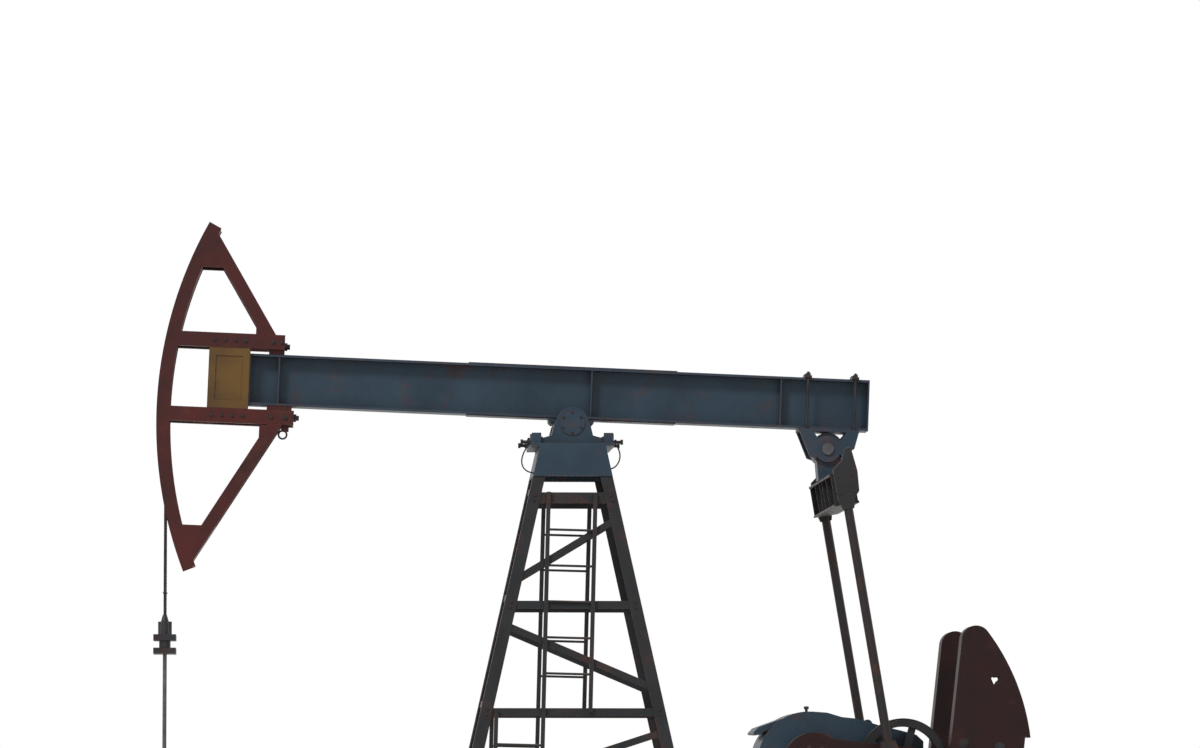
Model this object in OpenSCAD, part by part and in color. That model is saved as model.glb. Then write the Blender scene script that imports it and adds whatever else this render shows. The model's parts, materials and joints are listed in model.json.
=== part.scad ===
// Beam pumping unit (pumpjack): walking beam on an A-frame post, curved head with a rod
// line, cranks with counterweights, gearbox on its stand, belt drive and motor on a skid.
// X runs along the beam to the rear, Y across, Z up. Y below zero is the near side.

/* [Main sizes] */
// Height of the beam's rocking axis above the ground
pivot_h = 5100; // [4900:10:5300]
// Tilt of the beam as it stands, rear end down, in degrees
rest_tilt = 2.25; // [0:0.25:4]
// Distance from the rocking axis to the front end of the skid
skid_front = 1620; // [1560:10:1800]
// Distance from the rocking axis to the rear end of the skid
skid_rear = 4450; // [4350:10:4800]

/* [Walking beam] */
// Length of the beam in front of the rocking axis
beam_front = 2717; // [2650:1:2760]
// Length of the beam behind the rocking axis
beam_rear = 2508; // [2480:1:2600]
// Height of the beam section
beam_h = 430; // [400:5:460]
// Width of the beam flanges
beam_w = 250; // [220:5:260]
// Thickness of the beam flanges
beam_flange = 20; // [14:1:26]
// Thickness of the beam web
beam_web = 14; // [10:1:20]
// Height of the beam's underside above the rocking axis
beam_lift = 52; // [46:1:60]
// Thickness of the doubler plates at the middle of the beam
doubler_t = 9; // [6:1:12]
// Reach of the doubler plates to either side of the rocking axis
doubler_reach = 880; // [700:10:1000]

/* [Head] */
// Radius of the head's cheeks from the rocking axis
head_r = 3480; // [3440:5:3520]
// Depth of the cheek plates, measured along the radius
cheek_depth = 114; // [104:1:124]
// Thickness of the cheeks and of all side plates of the head
cheek_t = 20; // [16:1:24]
// Outer width of the head
head_w = 340; // [320:5:360]
// Depth of the rope track below the cheeks' outer edge
track_drop = 92; // [84:1:98]
// Thickness of the track plate
track_t = 16; // [10:1:18]
// Angle of the head's upper tip above the beam's level, in degrees
head_up = 26.85; // [26:0.05:28]
// Angle of the head's lower tip below the beam's level, in degrees
head_down = 23; // [22:0.05:24]
// Depth of the struts above and below the beam
strut_depth = 122; // [110:1:130]
// Width of the struts' lips
strut_lip = 60; // [40:1:70]
// Thickness of the pads between struts and beam
pad_t = 40; // [30:1:50]
// Distance from the rocking axis to the rear end of the upper strut
strut_end = 2430; // [2400:1:2460]
// Depth of the slanting braces
brace_depth = 104; // [90:1:115]
// Length of the head's centre box along the beam
box_length = 344; // [300:1:380]
// Height of the upper gusset's lower edge above the rocking axis
gusset_up = 1193; // [1150:1:1250]
// Depth of the lower gusset's upper edge below the rocking axis
gusset_down = 979; // [940:1:1020]

/* [Rod line] */
// Diameter of each hanging rope
rope_d = 24; // [18:1:28]
// Distance between the two hanging ropes
rope_gap = 240; // [200:5:260]
// Diameter of the polished rod
rod_d = 34; // [28:1:38]
// Half the width of the carrier bars along the beam
carrier_half = 94; // [80:1:100]
// Height of the upper carrier bar's top above the ground
carrier_h = 3330; // [3300:5:3400]
// Height of the polished rod's lower end above the ground
rod_end_h = 1350; // [1300:10:1500]

/* [Saddle] */
// Radius of the saddle shaft
saddle_shaft_r = 42; // [34:1:42]
// Radius of the saddle bearing housings
bearing_r = 134; // [125:1:145]
// Distance from the middle plane to the bearing housings
bearing_in = 150; // [145:1:160]
// Width of each bearing housing
bearing_w = 195; // [180:5:210]
// Height of the rocking axis above the post's top plate
bearing_h = 176; // [165:1:190]

/* [Post] */
// Thickness of the post's top plate
top_plate_t = 24; // [18:1:30]
// Half the length of the top plate along the beam
top_plate_half = 350; // [345:1:380]
// Half the post's width along the beam at the top, over the legs
post_top_x = 276; // [260:1:290]
// Half the post's width along the beam at the skid, over the legs
post_foot_x = 1299; // [1250:1:1330]
// Half the post's depth at the top, over the legs
post_top_y = 445; // [435:1:455]
// Half the post's depth at the skid, over the legs
post_foot_y = 555; // [545:1:560]
// Width of the leg angles
leg_w = 100; // [90:1:110]
// Thickness of the leg angles
leg_t = 12; // [10:1:16]
// Depth of the box under the top plate
head_box_h = 252; // [220:1:280]
// Height of the uppermost girt above the ground
girt_top_h = 4467; // [4440:1:4500]
// Spacing of the girts
girt_pitch = 894; // [880:1:905]
// Height of the girt bars
girt_h = 66; // [56:1:76]
// Width of the slanting post braces
post_brace_w = 54; // [44:1:64]

/* [Ladders] */
// Width of each ladder, from stile to stile
ladder_w = 391; // [360:1:395]
// Width of a ladder stile
stile_w = 34; // [26:1:38]
// Distance from rung to rung
rung_pitch = 300; // [280:5:320]
// Radius of the rungs
rung_r = 10; // [8:1:13]

/* [Rear bearing and pitmans] */
// Distance from the rocking axis back to the rear bearing
rear_x = 2163; // [2150:1:2180]
// Depth of the rear bearing below the rocking axis
rear_drop = 200; // [190:1:210]
// Radius of the rear bearing's housing
rear_housing_r = 138; // [130:1:145]
// Radius of the rear bearing's pin
rear_pin_r = 50; // [40:1:60]
// Lean of the pitmans from upright, in degrees
pitman_lean = 9.46; // [9:0.02:10]
// Length of the pitmans from the rear bearing to the crank pin
pitman_l = 2753; // [2740:1:2760]
// Radius of the pitman tubes
pitman_r = 38; // [34:1:44]
// Distance from the middle plane to each pitman
pitman_y = 1000; // [985:1:1015]
// Depth of the traverse
traverse_h = 270; // [240:5:290]
// Width of the traverse
traverse_w = 210; // [180:5:230]
// Depth of the traverse's top below the rear bearing
traverse_drop = 248; // [240:1:260]

/* [Cranks] */
// Distance from the rocking axis back to the crankshaft
crank_x = 1977; // [1960:1:1990]
// Height of the crankshaft above the ground
crank_h = 2255; // [2200:5:2300]
// Radius of the crankshaft
crankshaft_r = 90; // [80:1:100]
// Throw of the crank pin
crank_throw = 640; // [600:5:660]
// Angle of the cranks below level as they stand, in degrees
crank_droop = 6.3; // [0:0.1:12]
// Distance from the middle plane to the inner face of the cranks
crank_in = 690; // [680:1:700]
// Thickness of the cranks
crank_t = 130; // [110:5:140]
// Half the depth of the crank arms
crank_half = 215; // [190:5:230]
// Length of the crank arms from the crankshaft to their ends
arm_l = 1550; // [1500:5:1560]
// Spacing of the crank pin holes
pin_pitch = 160; // [150:5:180]
// Radius of the crank pin holes
pin_hole_r = 48; // [40:1:52]
// Outer radius of the counterweights
weight_r = 1814; // [1780:1:1830]
// Distance from the crankshaft to the weights' straight inner edge
weight_chord = 1114; // [1080:2:1140]
// Thickness of the counterweights
weight_t = 200; // [180:5:210]

/* [Gearbox] */
// Half the width of the gearbox housing
gearbox_half = 390; // [360:5:400]
// Radius of the housing around the crankshaft
gearbox_r = 432; // [425:1:440]
// Distance from the crankshaft to the input shaft
input_x = 770; // [750:5:790]
// Radius of the input shaft
input_shaft_r = 40; // [34:1:48]
// Depth of the housing's foot below the crankshaft
gearbox_foot = 500; // [480:5:520]

/* [Drive] */
// Radius of the driven sheave
sheave_r = 361; // [340:1:375]
// Width of the sheaves and the belt
sheave_w = 110; // [90:5:115]
// Distance from the middle plane to the sheaves
sheave_in = 500; // [495:1:510]
// Radius of the motor sheave
motor_sheave_r = 110; // [90:1:130]
// Distance from the input shaft back to the motor shaft
motor_back = 1180; // [1150:10:1220]
// Height of the motor shaft above the ground
motor_h = 840; // [800:5:880]
// Radius of the motor's body
motor_r = 205; // [190:5:215]
// Thickness of the banded belt
belt_t = 11; // [8:1:14]
// Radius of the brake drum
drum_r = 190; // [170:5:210]

/* [Skid] */
// Height of the skid rails
skid_h = 300; // [280:5:320]
// Flange width of the skid rails
skid_w = 150; // [140:5:160]
// Thickness of the skid rails' flanges
skid_flange = 16; // [12:1:20]
// Thickness of the skid rails' webs
skid_web = 12; // [8:1:16]
// Radius of the anchor bolt holes
anchor_r = 15; // [12:1:18]

/* [Hidden] */
$fn = 64;
fine = 240;

// Running clearance of a shaft in its bore, and gap between parts that turn past each other
run_gap = 0.05;
side_gap = 5;
// A length longer than anything that it cuts
far = 9000;
// A little past a face, so that a cut goes right through it
past = 1;

beam_top = beam_lift + beam_h;
track_r = head_r - track_drop;
rope_r = rope_d / 2;
line_r = track_r + rope_r;
cheek_in_r = head_r - cheek_depth;
cheek_y = head_w / 2 - cheek_t;
front_reach = line_r + carrier_half;
pivot_x = (front_reach - skid_rear) / 2;
well_x = pivot_x - line_r;

strut_top = beam_top + pad_t + strut_depth;
strut_low = beam_lift - pad_t - strut_depth;
lower_strut_more = 100;
brace_foot_up = 2569;
brace_foot_down = 2487;
lean_up = 31.9;
lean_down = 30.7;
member_t = 12;

post_z0 = skid_h + 20;
post_z1 = pivot_h - bearing_h - top_plate_t;
post_rise = post_z1 - post_z0;
post_slope_x = (post_foot_x - post_top_x) / post_rise;
post_slope_y = (post_foot_y - post_top_y) / post_rise;
post_lean_x = atan(post_slope_x);
post_lean_y = atan(post_slope_y);
girt_count = 5;
brace_below = 150;
brace_above = 175;

crank_px = pivot_x + crank_x;
input_px = crank_px + input_x;
motor_px = input_px + motor_back;
crank_face = crank_in + crank_t;
pin_boss_r = 85;
pin_boss_l = pitman_y - 92 - side_gap - crank_face;
pitman_head_r = 130;
pitman_head_half = 92;
sheave_out = sheave_in + sheave_w;
gearbox_top_z = crank_h - gearbox_foot;
gearbox_front = -500;
gearbox_rear = input_x + 240;

function post_x_at(z) = post_top_x + (post_z1 - z) * post_slope_x;
function post_y_at(z) = post_top_y + (post_z1 - z) * post_slope_y;
function girt_z(i) = girt_top_h - i * girt_pitch;
function middle(a, b) = (a + b) / 2;

// An outline drawn in X and Z, as a plate between two values of Y
module side_plate(y0, y1) {
  translate([0, y1, 0]) rotate([90, 0, 0]) linear_extrude(y1 - y0) children();
}

// The same plate on the near and on the far side
module both_sides(y0, y1) {
  side_plate(y0, y1) children();
  side_plate(-y1, -y0) children();
}

// A round bar along Y
module cross_bar(r, y0, y1) {
  translate([0, y1, 0]) rotate([90, 0, 0]) cylinder(r = r, h = y1 - y0);
}

// A rolled beam along X, standing on z = 0 from x = 0
module rolled_beam(length, h, w, flange, web) {
  rotate([90, 0, 90]) linear_extrude(length) {
    translate([-w / 2, 0]) square([w, flange]);
    translate([-w / 2, h - flange]) square([w, flange]);
    translate([-web / 2, flange / 2]) square([web, h - flange]);
  }
}

module at_pivot() {
  translate([pivot_x, 0, pivot_h]) children();
}

// The beam's own frame, turned by the tilt at which it stands
module on_beam() {
  at_pivot() rotate([0, rest_tilt, 0]) children();
}

module at_rear_bearing() {
  translate([pivot_x + rear_x, 0, pivot_h - rear_drop]) rotate([0, -pitman_lean, 0]) children();
}

module at_crankshaft() {
  translate([crank_px, 0, crank_h]) children();
}

module on_crank() {
  at_crankshaft() rotate([0, crank_droop, 0]) children();
}

// Skid

anchor_in = skid_w / 4 + 5;
anchor_xs = [-1500, 4300];

module skid_rail_at(side) {
  rail_y = post_foot_y - skid_w / 2;
  translate([pivot_x - skid_front, side * rail_y, 0]) difference() {
    rolled_beam(skid_front + skid_rear, skid_h, skid_w, skid_flange, skid_web);
    for (x = anchor_xs)
      for (s = [-1, 1])
        translate([x + skid_front, s * anchor_in, -past]) cylinder(r = anchor_r, h = skid_flange + 2 * past);
  }
}

module skid_rails() {
  color("#3c4145") for (side = [-1, 1]) skid_rail_at(side);
}

cross_xs = [-1600, -1240, -420, 420, 1240, 2000, 2960, 3500, 4120, 4400];

module skid_cross_members() {
  rail_y = post_foot_y - skid_w / 2 - skid_web / 2;
  depth = skid_h - 2 * skid_flange;
  color("#3c4145")
    for (x = cross_xs)
      translate([pivot_x + x - 35, -rail_y, skid_flange]) difference() {
        cube([70, 2 * rail_y, depth]);
        translate([10, -past, 12]) cube([70, 2 * rail_y + 2 * past, depth - 24]);
      }
}

// Post

// One leg: an angle whose outer corner follows the post's edge
module leg_shape() {
  translate([post_foot_x, post_foot_y, post_z0])
    rotate([post_lean_y, -post_lean_x, 0])
      translate([0, 0, -200]) linear_extrude(post_rise * 1.2)
        polygon([[0, 0], [-leg_w, 0], [-leg_w, -leg_t], [-leg_t, -leg_t], [-leg_t, -leg_w], [0, -leg_w]]);
}

module leg(side_x, side_y) {
  mirror([side_x < 0 ? 1 : 0, 0, 0]) mirror([0, side_y < 0 ? 1 : 0, 0])
    intersection() {
      leg_shape();
      translate([0, 0, post_z0]) cube([far, far, post_rise]);
    }
}

module all_legs() {
  for (sx = [-1, 1]) for (sy = [-1, 1]) leg(sx, sy);
}

module at_post() {
  translate([pivot_x, 0, 0]) children();
}

module post_legs() {
  color("#2d3033") at_post() all_legs();
}

module leg_feet() {
  foot_t = post_z0 - skid_h;
  color("#2d3033") at_post()
    for (sx = [-1, 1]) for (sy = [-1, 1])
      translate([sx * (post_foot_x - leg_w / 2), sy * (post_foot_y - skid_w / 2), skid_h + foot_t / 2])
        cube([leg_w + 90, skid_w, foot_t], center = true);
}

// The space between the legs' outer faces, seen from the side
module post_outline(inset) {
  polygon([[-post_foot_x + inset, post_z0], [post_foot_x - inset, post_z0],
           [post_top_x - inset, post_z1], [-post_top_x + inset, post_z1]]);
}

// The near face's own frame: x across, y inwards from the legs' outer face, z up the slope
module near_face() {
  translate([0, -post_foot_y, post_z0]) rotate([-post_lean_y, 0, 0]) children();
}

module on_face(side_y) {
  mirror([0, side_y > 0 ? 1 : 0, 0]) near_face() children();
}

module girts(side_y) {
  intersection() {
    difference() {
      on_face(side_y)
        for (i = [0 : girt_count - 1]) {
          h = i == 0 ? girt_h + 26 : girt_h;
          translate([-far / 2, leg_t, girt_z(i) - post_z0 - h / 2]) cube([far, 10, h]);
          translate([-far / 2, leg_t, girt_z(i) - post_z0 + h / 2 - 8]) cube([far, 56, 8]);
        }
      all_legs();
    }
    side_plate(-far / 2, far / 2) post_outline(leg_t / 3);
  }
}

module post_girts() {
  color("#2d3033") at_post() for (side_y = [-1, 1]) girts(side_y);
}

// A flat bar in X and Z from p to q
module flat_bar(p, q, w, y0, y1) {
  run = q - p;
  translate([p[0], 0, p[1]]) rotate([0, -atan2(run[1], run[0]), 0])
    translate([0, y0, -w / 2]) cube([norm(run), y1 - y0, w]);
}

module braces(side_y) {
  intersection() {
    difference() {
      on_face(side_y)
        for (i = [0 : girt_count - 2]) {
          hi = girt_z(i) - brace_below - post_z0;
          lo = girt_z(i + 1) + brace_above - post_z0;
          way = i % 2 == 0 ? 1 : -1;
          wide_hi = way * post_x_at(hi + post_z0);
          wide_lo = -way * post_x_at(lo + post_z0);
          flat_bar([wide_lo, lo], [wide_hi, hi], post_brace_w, leg_t, leg_t + 8);
        }
      all_legs();
    }
    side_plate(-far / 2, far / 2) post_outline(leg_t / 3);
  }
}

module post_braces() {
  color("#2d3033") at_post() for (side_y = [-1, 1]) braces(side_y);
}

// The sloping front and rear faces: x outwards from the legs' outer face, y across, z up
module end_face(side_x) {
  mirror([side_x < 0 ? 1 : 0, 0, 0])
    translate([post_foot_x, 0, post_z0]) rotate([0, -post_lean_x, 0]) children();
}

module post_side_ties() {
  tie_rise = 78;
  color("#2d3033") at_post() intersection() {
    difference() {
      for (sx = [-1, 1]) end_face(sx)
        for (i = [0 : girt_count - 1]) {
          z = (girt_z(i) - post_z0 + tie_rise) / cos(post_lean_x);
          translate([-leg_t - 8, -far / 2, z - 28]) cube([8, far, 56]);
        }
      all_legs();
    }
    rotate([90, 0, 90]) translate([0, 0, -far / 2]) linear_extrude(far)
      polygon([[-post_foot_y + leg_t / 3, post_z0], [post_foot_y - leg_t / 3, post_z0],
               [post_top_y - leg_t / 3, post_z1], [-post_top_y + leg_t / 3, post_z1]]);
  }
}

// Plated box that closes the top of the post, with the legs let into it
module post_head() {
  z0 = post_z1 - head_box_h;
  wall = 12;
  skin = 10;
  half0 = post_x_at(z0);
  y_in = post_top_y - leg_t - 14;
  y_out = post_y_at(z0) + skin;
  color("#2c3d4c") at_post() difference() {
    union() {
      translate([-top_plate_half, -y_out, post_z1]) cube([2 * top_plate_half, 2 * y_out, top_plate_t]);
      both_sides(y_in, y_out)
        polygon([[-half0, z0], [half0, z0], [post_top_x, post_z1], [-post_top_x, post_z1]]);
      side_plate(-y_in, y_in) difference() {
        polygon([[-half0, z0], [half0, z0], [post_top_x, post_z1], [-post_top_x, post_z1]]);
        polygon([[-half0 + wall, z0 - past], [half0 - wall, z0 - past],
                 [post_top_x - wall, post_z1], [-post_top_x + wall, post_z1]]);
      }
    }
    all_legs();
  }
}

// Ladder flight on a face: x of its middle, from one height to another, leaning a little
module flight(mid_x, z0, z1, first_rung) {
  for (s = [-1, 1])
    translate([mid_x + s * ladder_w / 2 - stile_w / 2, -26, z0]) cube([stile_w, 26 + leg_t, z1 - z0]);
  for (z = [first_rung : -rung_pitch : z0 + 40])
    if (z < z1 - 30)
      translate([mid_x - ladder_w / 2, -8, z]) rotate([0, 90, 0]) cylinder(r = rung_r, h = ladder_w);
}

module ladders(side_y) {
  lean = 1.43;
  mid_top = -8;
  hang = girt_z(0) - post_z0;
  meet = -girt_pitch * 2;
  first = 4196 - girt_top_h;
  on_face(side_y) translate([mid_top, 0, hang]) rotate([0, lean, 0]) {
    flight(0, meet, girt_h / 2 + 10, first);
    flight(-ladder_w, -hang + 8, meet, first);
  }
}

module ladder_near() {
  color("#2d3033") at_post() ladders(-1);
}

module ladder_far() {
  color("#2d3033") at_post() ladders(1);
}

// Saddle bearings on the post's top plate

bearing_foot = 300;

module bearing(side_y) {
  y0 = bearing_in;
  y1 = bearing_in + bearing_w;
  mirror([0, side_y < 0 ? 1 : 0, 0]) difference() {
    union() {
      side_plate(y0, y1) {
        circle(r = bearing_r, $fn = fine);
        polygon([[-bearing_r - 14, 0], [-bearing_r - 40, -bearing_h + 70], [-bearing_foot, -bearing_h + 36],
                 [-bearing_foot, -bearing_h], [bearing_foot, -bearing_h], [bearing_foot, -bearing_h + 36],
                 [bearing_r + 40, -bearing_h + 70], [bearing_r + 14, 0]]);
      }
      cross_bar(bearing_r - 30, y1 - past, y1 + 12);
    }
    cross_bar(saddle_shaft_r + run_gap, y0 - past, y1 - 10);
  }
}

module bearing_near() {
  color("#33475a") at_pivot() bearing(-1);
}

module bearing_far() {
  color("#33475a") at_pivot() bearing(1);
}

block_t = 30;
screw_r = 14;
screw_up = 34;
block_h = 84;

module adjusting_blocks() {
  color("#2c3d4c") at_pivot()
    for (sx = [-1, 1]) for (sy = [-1, 1])
      translate([sx * (top_plate_half - block_t / 2), sy * (bearing_in + bearing_w / 2), -bearing_h])
        difference() {
          translate([-block_t / 2, -55, 0]) cube([block_t, 110, block_h]);
          translate([-block_t, 0, screw_up - 14]) rotate([0, 90, 0]) cylinder(r = screw_r, h = 2 * block_t);
        }
}

module adjusting_screws() {
  color("#4b5054") at_pivot()
    for (sx = [-1, 1]) for (sy = [-1, 1])
      translate([0, sy * (bearing_in + bearing_w / 2), -bearing_h + screw_up - 14])
        mirror([sx < 0 ? 1 : 0, 0, 0]) translate([bearing_foot, 0, 0]) rotate([0, 90, 0]) {
          cylinder(r = screw_r, h = top_plate_half - bearing_foot + 60);
          translate([0, 0, top_plate_half - bearing_foot + 8]) cylinder(r = 22, h = 18, $fn = 6);
          translate([0, 0, top_plate_half - bearing_foot + 60]) cylinder(r = 22, h = 20, $fn = 6);
        }
}

// Walking beam

stiffener_xs = [-2470, 160, 1760];

module walking_beam() {
  color("#33475a") on_beam() {
    translate([-beam_front, 0, beam_lift])
      rolled_beam(beam_front + beam_rear, beam_h, beam_w, beam_flange, beam_web);
    translate([-doubler_reach, -beam_w / 2 + 15, beam_lift - doubler_t])
      cube([2 * doubler_reach, beam_w - 30, doubler_t + past]);
    translate([-doubler_reach, -beam_w / 2 + 15, beam_top - past])
      cube([2 * doubler_reach, beam_w - 30, doubler_t + past]);
    for (x = stiffener_xs)
      translate([x - 6, -beam_w / 2 + 8, beam_lift + past]) cube([12, beam_w - 16, beam_h - 2 * past]);
    translate([beam_rear - 14, -beam_w / 2, beam_lift]) cube([14, beam_w, beam_h]);
    translate([-beam_front, -beam_w / 2, beam_lift]) cube([14, beam_w, beam_h]);
  }
}

module saddle_block() {
  half_y = beam_w / 2 - 5;
  color("#33475a") on_beam() difference() {
    union() {
      cross_bar(saddle_shaft_r + 40, -half_y, half_y);
      side_plate(-half_y, half_y)
        polygon([[-190, beam_lift - doubler_t], [190, beam_lift - doubler_t], [190, beam_lift - doubler_t - 26],
                 [100, -40], [-100, -40], [-190, beam_lift - doubler_t - 26]]);
    }
    cross_bar(saddle_shaft_r, -half_y - past, half_y + past);
    translate([-far / 2, -far / 2, beam_lift - doubler_t]) cube([far, far, far]);
  }
}

module saddle_shaft() {
  end = bearing_in + bearing_w - 12;
  color("#8d9499") on_beam() cross_bar(saddle_shaft_r, -end, end);
}

// Head

// Ring sector in front of the rocking axis, between two angles
module arc_band(r_in, r_out, up, down) {
  k = 1.3 * r_out;
  intersection() {
    difference() {
      circle(r = r_out, $fn = 2 * fine);
      circle(r = r_in, $fn = 2 * fine);
    }
    polygon([[0, 0], [-k * cos(up), k * sin(up)], [-k, 0], [-k * cos(down), -k * sin(down)]]);
  }
}

module head_cheeks() {
  color("#5a241f") on_beam() both_sides(cheek_y, cheek_y + cheek_t)
    arc_band(cheek_in_r, head_r, head_up, head_down);
}

module head_track() {
  color("#5a241f") on_beam() side_plate(-cheek_y, cheek_y)
    arc_band(track_r - track_t, track_r, head_up, head_down);
}

// A pair of channels, near and far, whose webs line up with the cheeks
module channel_pair(p, q, depth) {
  run = q - p;
  y_out = cheek_y + cheek_t;
  y_in = y_out - strut_lip;
  for (s = [0, 1]) mirror([0, s, 0])
    translate([p[0], 0, p[1]]) rotate([0, -atan2(run[1], run[0]), 0]) difference() {
      translate([0, y_in, -depth / 2]) cube([norm(run), strut_lip, depth]);
      translate([-past, y_in - past, -depth / 2 + member_t])
        cube([norm(run) + 2 * past, strut_lip - cheek_t + past, depth - 2 * member_t]);
    }
}

module inside_cheeks() {
  side_plate(-far / 2, far / 2) circle(r = cheek_in_r, $fn = 2 * fine);
}

module head_struts() {
  y_tie = cheek_y + past;
  color("#5a241f") on_beam() intersection() {
    union() {
      channel_pair([-far / 2, strut_top - strut_depth / 2], [-strut_end, strut_top - strut_depth / 2], strut_depth);
      channel_pair([-far / 2, strut_low + strut_depth / 2],
                   [-strut_end + lower_strut_more, strut_low + strut_depth / 2], strut_depth);
      for (z = [strut_top - strut_depth, strut_low + strut_depth - member_t]) {
        translate([-strut_end - 140, -y_tie, z]) cube([140, 2 * y_tie, member_t]);
        translate([-beam_front - box_length, -y_tie, z]) cube([box_length, 2 * y_tie, member_t]);
      }
      translate([-strut_end - member_t, -y_tie, strut_top - strut_depth]) cube([member_t, 2 * y_tie, strut_depth]);
      translate([-strut_end + lower_strut_more - member_t, -y_tie, strut_low])
        cube([member_t, 2 * y_tie, strut_depth]);
    }
    inside_cheeks();
  }
}

module head_braces() {
  run = 1600;
  color("#5a241f") on_beam() intersection() {
    union() {
      intersection() {
        channel_pair([-brace_foot_up + 200 * tan(lean_up), strut_top - 200],
                     [-brace_foot_up - run * sin(lean_up), strut_top + run * cos(lean_up)], brace_depth);
        translate([-far, -far / 2, strut_top]) cube([far, far, gusset_up - strut_top]);
      }
      intersection() {
        channel_pair([-brace_foot_down + 200 * tan(lean_down), strut_low + 200],
                     [-brace_foot_down - run * sin(lean_down), strut_low - run * cos(lean_down)], brace_depth);
        translate([-far, -far / 2, -gusset_down]) cube([far, far, gusset_down + strut_low]);
      }
    }
    inside_cheeks();
  }
}

function brace_edge(foot, lean, rise) = -foot + brace_depth / 2 / cos(lean) - rise * tan(lean);

module head_gussets() {
  up0 = brace_edge(brace_foot_up, lean_up, gusset_up - strut_top);
  up1 = brace_edge(brace_foot_up, lean_up, 1800 - strut_top);
  lo0 = brace_edge(brace_foot_down, lean_down, gusset_down + strut_low);
  lo1 = brace_edge(brace_foot_down, lean_down, 1600 + strut_low);
  color("#5a241f") on_beam() {
    intersection() {
      difference() {
        side_plate(-cheek_y - cheek_t, cheek_y + cheek_t)
          polygon([[up0, gusset_up], [up1, 1800], [-far / 2, 1800], [-far / 2, gusset_up]]);
        side_plate(-cheek_y, cheek_y)
          polygon([[up0 - 16, gusset_up - past], [up1 - 16, 1801], [-far / 2, 1801], [-far / 2, gusset_up - past]]);
      }
      inside_cheeks();
    }
    intersection() {
      difference() {
        side_plate(-cheek_y - cheek_t, cheek_y + cheek_t)
          polygon([[lo0, -gusset_down], [lo1, -1600], [-far / 2, -1600], [-far / 2, -gusset_down]]);
        side_plate(-cheek_y, cheek_y)
          polygon([[lo0 - 16, -gusset_down + past], [lo1 - 16, -1601], [-far / 2, -1601], [-far / 2, -gusset_down + past]]);
      }
      inside_cheeks();
    }
  }
}

module head_box() {
  z0 = beam_lift - pad_t;
  z1 = beam_top + pad_t;
  y_out = cheek_y + cheek_t - 4;
  color("#7a5f22") on_beam() difference() {
    translate([-beam_front - box_length, -y_out, z0]) cube([box_length, 2 * y_out, z1 - z0]);
    for (s = [-1, 1])
      translate([-beam_front - box_length + 60, s * y_out - 8, z0 + 70])
        cube([box_length - 120, 16, z1 - z0 - 140]);
  }
}

module head_pads() {
  pad_half = beam_w / 2 - 6;
  color("#5a241f") on_beam() {
    translate([-strut_end - 130, -pad_half, beam_top]) cube([130, 2 * pad_half, pad_t]);
    translate([-strut_end - 130, -pad_half, beam_lift - pad_t]) cube([210, 2 * pad_half, pad_t]);
  }
}

module head_latches() {
  color("#4b5054") on_beam() {
    for (s = [-1, 1]) {
      translate([-strut_end, s * 95, strut_top - strut_depth + 36]) rotate([0, 90, 0]) {
        cylinder(r = 26, h = 22, $fn = 6);
        cylinder(r = 15, h = 44);
      }
      translate([-strut_end + lower_strut_more, s * 95, strut_low + strut_depth - 50]) rotate([0, 90, 0]) {
        cylinder(r = 26, h = 22, $fn = 6);
        cylinder(r = 15, h = 44);
      }
    }
  }
}

// Rod line

wrap_up = 25;
wrap_down = rest_tilt - 0.01;
rope_z = pivot_h;
socket_h = 155;
bar_h = 50;
bar_gap = 62;

// Ropes laid in the track, from the upper anchor to the level of the rocking axis
module rope_wrap() {
  anchor_half = cheek_y - 2;
  color("#55595c") on_beam() {
    for (s = [-1, 1])
      translate([0, s * rope_gap / 2, 0]) rotate([90, 0, 0])
        intersection() {
          rotate_extrude($fn = 2 * fine) translate([line_r, 0]) circle(r = rope_r - 0.4, $fn = 24);
          linear_extrude(2 * rope_d, center = true)
            polygon([[0, 0], [-2 * line_r * cos(wrap_up), 2 * line_r * sin(wrap_up)],
                     [-2 * line_r * cos(wrap_down), -2 * line_r * sin(wrap_down)]]);
        }
    rotate([0, wrap_up, 0]) translate([-track_r - 30, -anchor_half, 0]) cube([29.7, 2 * anchor_half, 60]);
  }
}

module hanging_ropes() {
  color("#55595c")
    for (s = [-1, 1])
      translate([well_x, s * rope_gap / 2, carrier_h + socket_h + 4])
        cylinder(r = rope_r - 0.4, h = rope_z - carrier_h - socket_h - 4, $fn = 24);
}

module rope_sockets() {
  color("#3c4145")
    for (s = [-1, 1])
      translate([well_x, s * rope_gap / 2, carrier_h]) {
        cylinder(r1 = 40, r2 = 30, h = socket_h - 40);
        translate([0, 0, socket_h - 40]) cylinder(r1 = 30, r2 = 18, h = 44);
      }
}

module carrier_bars() {
  half_y = rope_gap / 2 + 60;
  color("#3c4145") difference() {
    union() {
      translate([well_x - carrier_half, -half_y, carrier_h - bar_h]) cube([2 * carrier_half, 2 * half_y, bar_h]);
      translate([well_x - carrier_half, -half_y, carrier_h - 2 * bar_h - bar_gap])
        cube([2 * carrier_half, 2 * half_y, bar_h]);
      for (s = [-1, 1])
        translate([well_x, s * (rope_gap / 2), carrier_h - bar_h - bar_gap - past])
          cylinder(r = 46, h = bar_gap + 2 * past);
    }
    translate([well_x, 0, carrier_h - 2 * bar_h - bar_gap - past])
      cylinder(r = rod_d / 2 + 6, h = 2 * bar_h + bar_gap + 2 * past);
  }
}

module rod_clamp() {
  color("#4b5054") difference() {
    union() {
      translate([well_x, 0, carrier_h]) cylinder(r = 58, h = 110);
      translate([well_x - 30, -80, carrier_h + 18]) cube([60, 160, 74]);
    }
    translate([well_x, 0, carrier_h - past]) cylinder(r = rod_d / 2, h = 112);
  }
}

thread_r = rod_d / 2 - 2.5;
thread_l = 100;
rod_above = 170;

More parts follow.
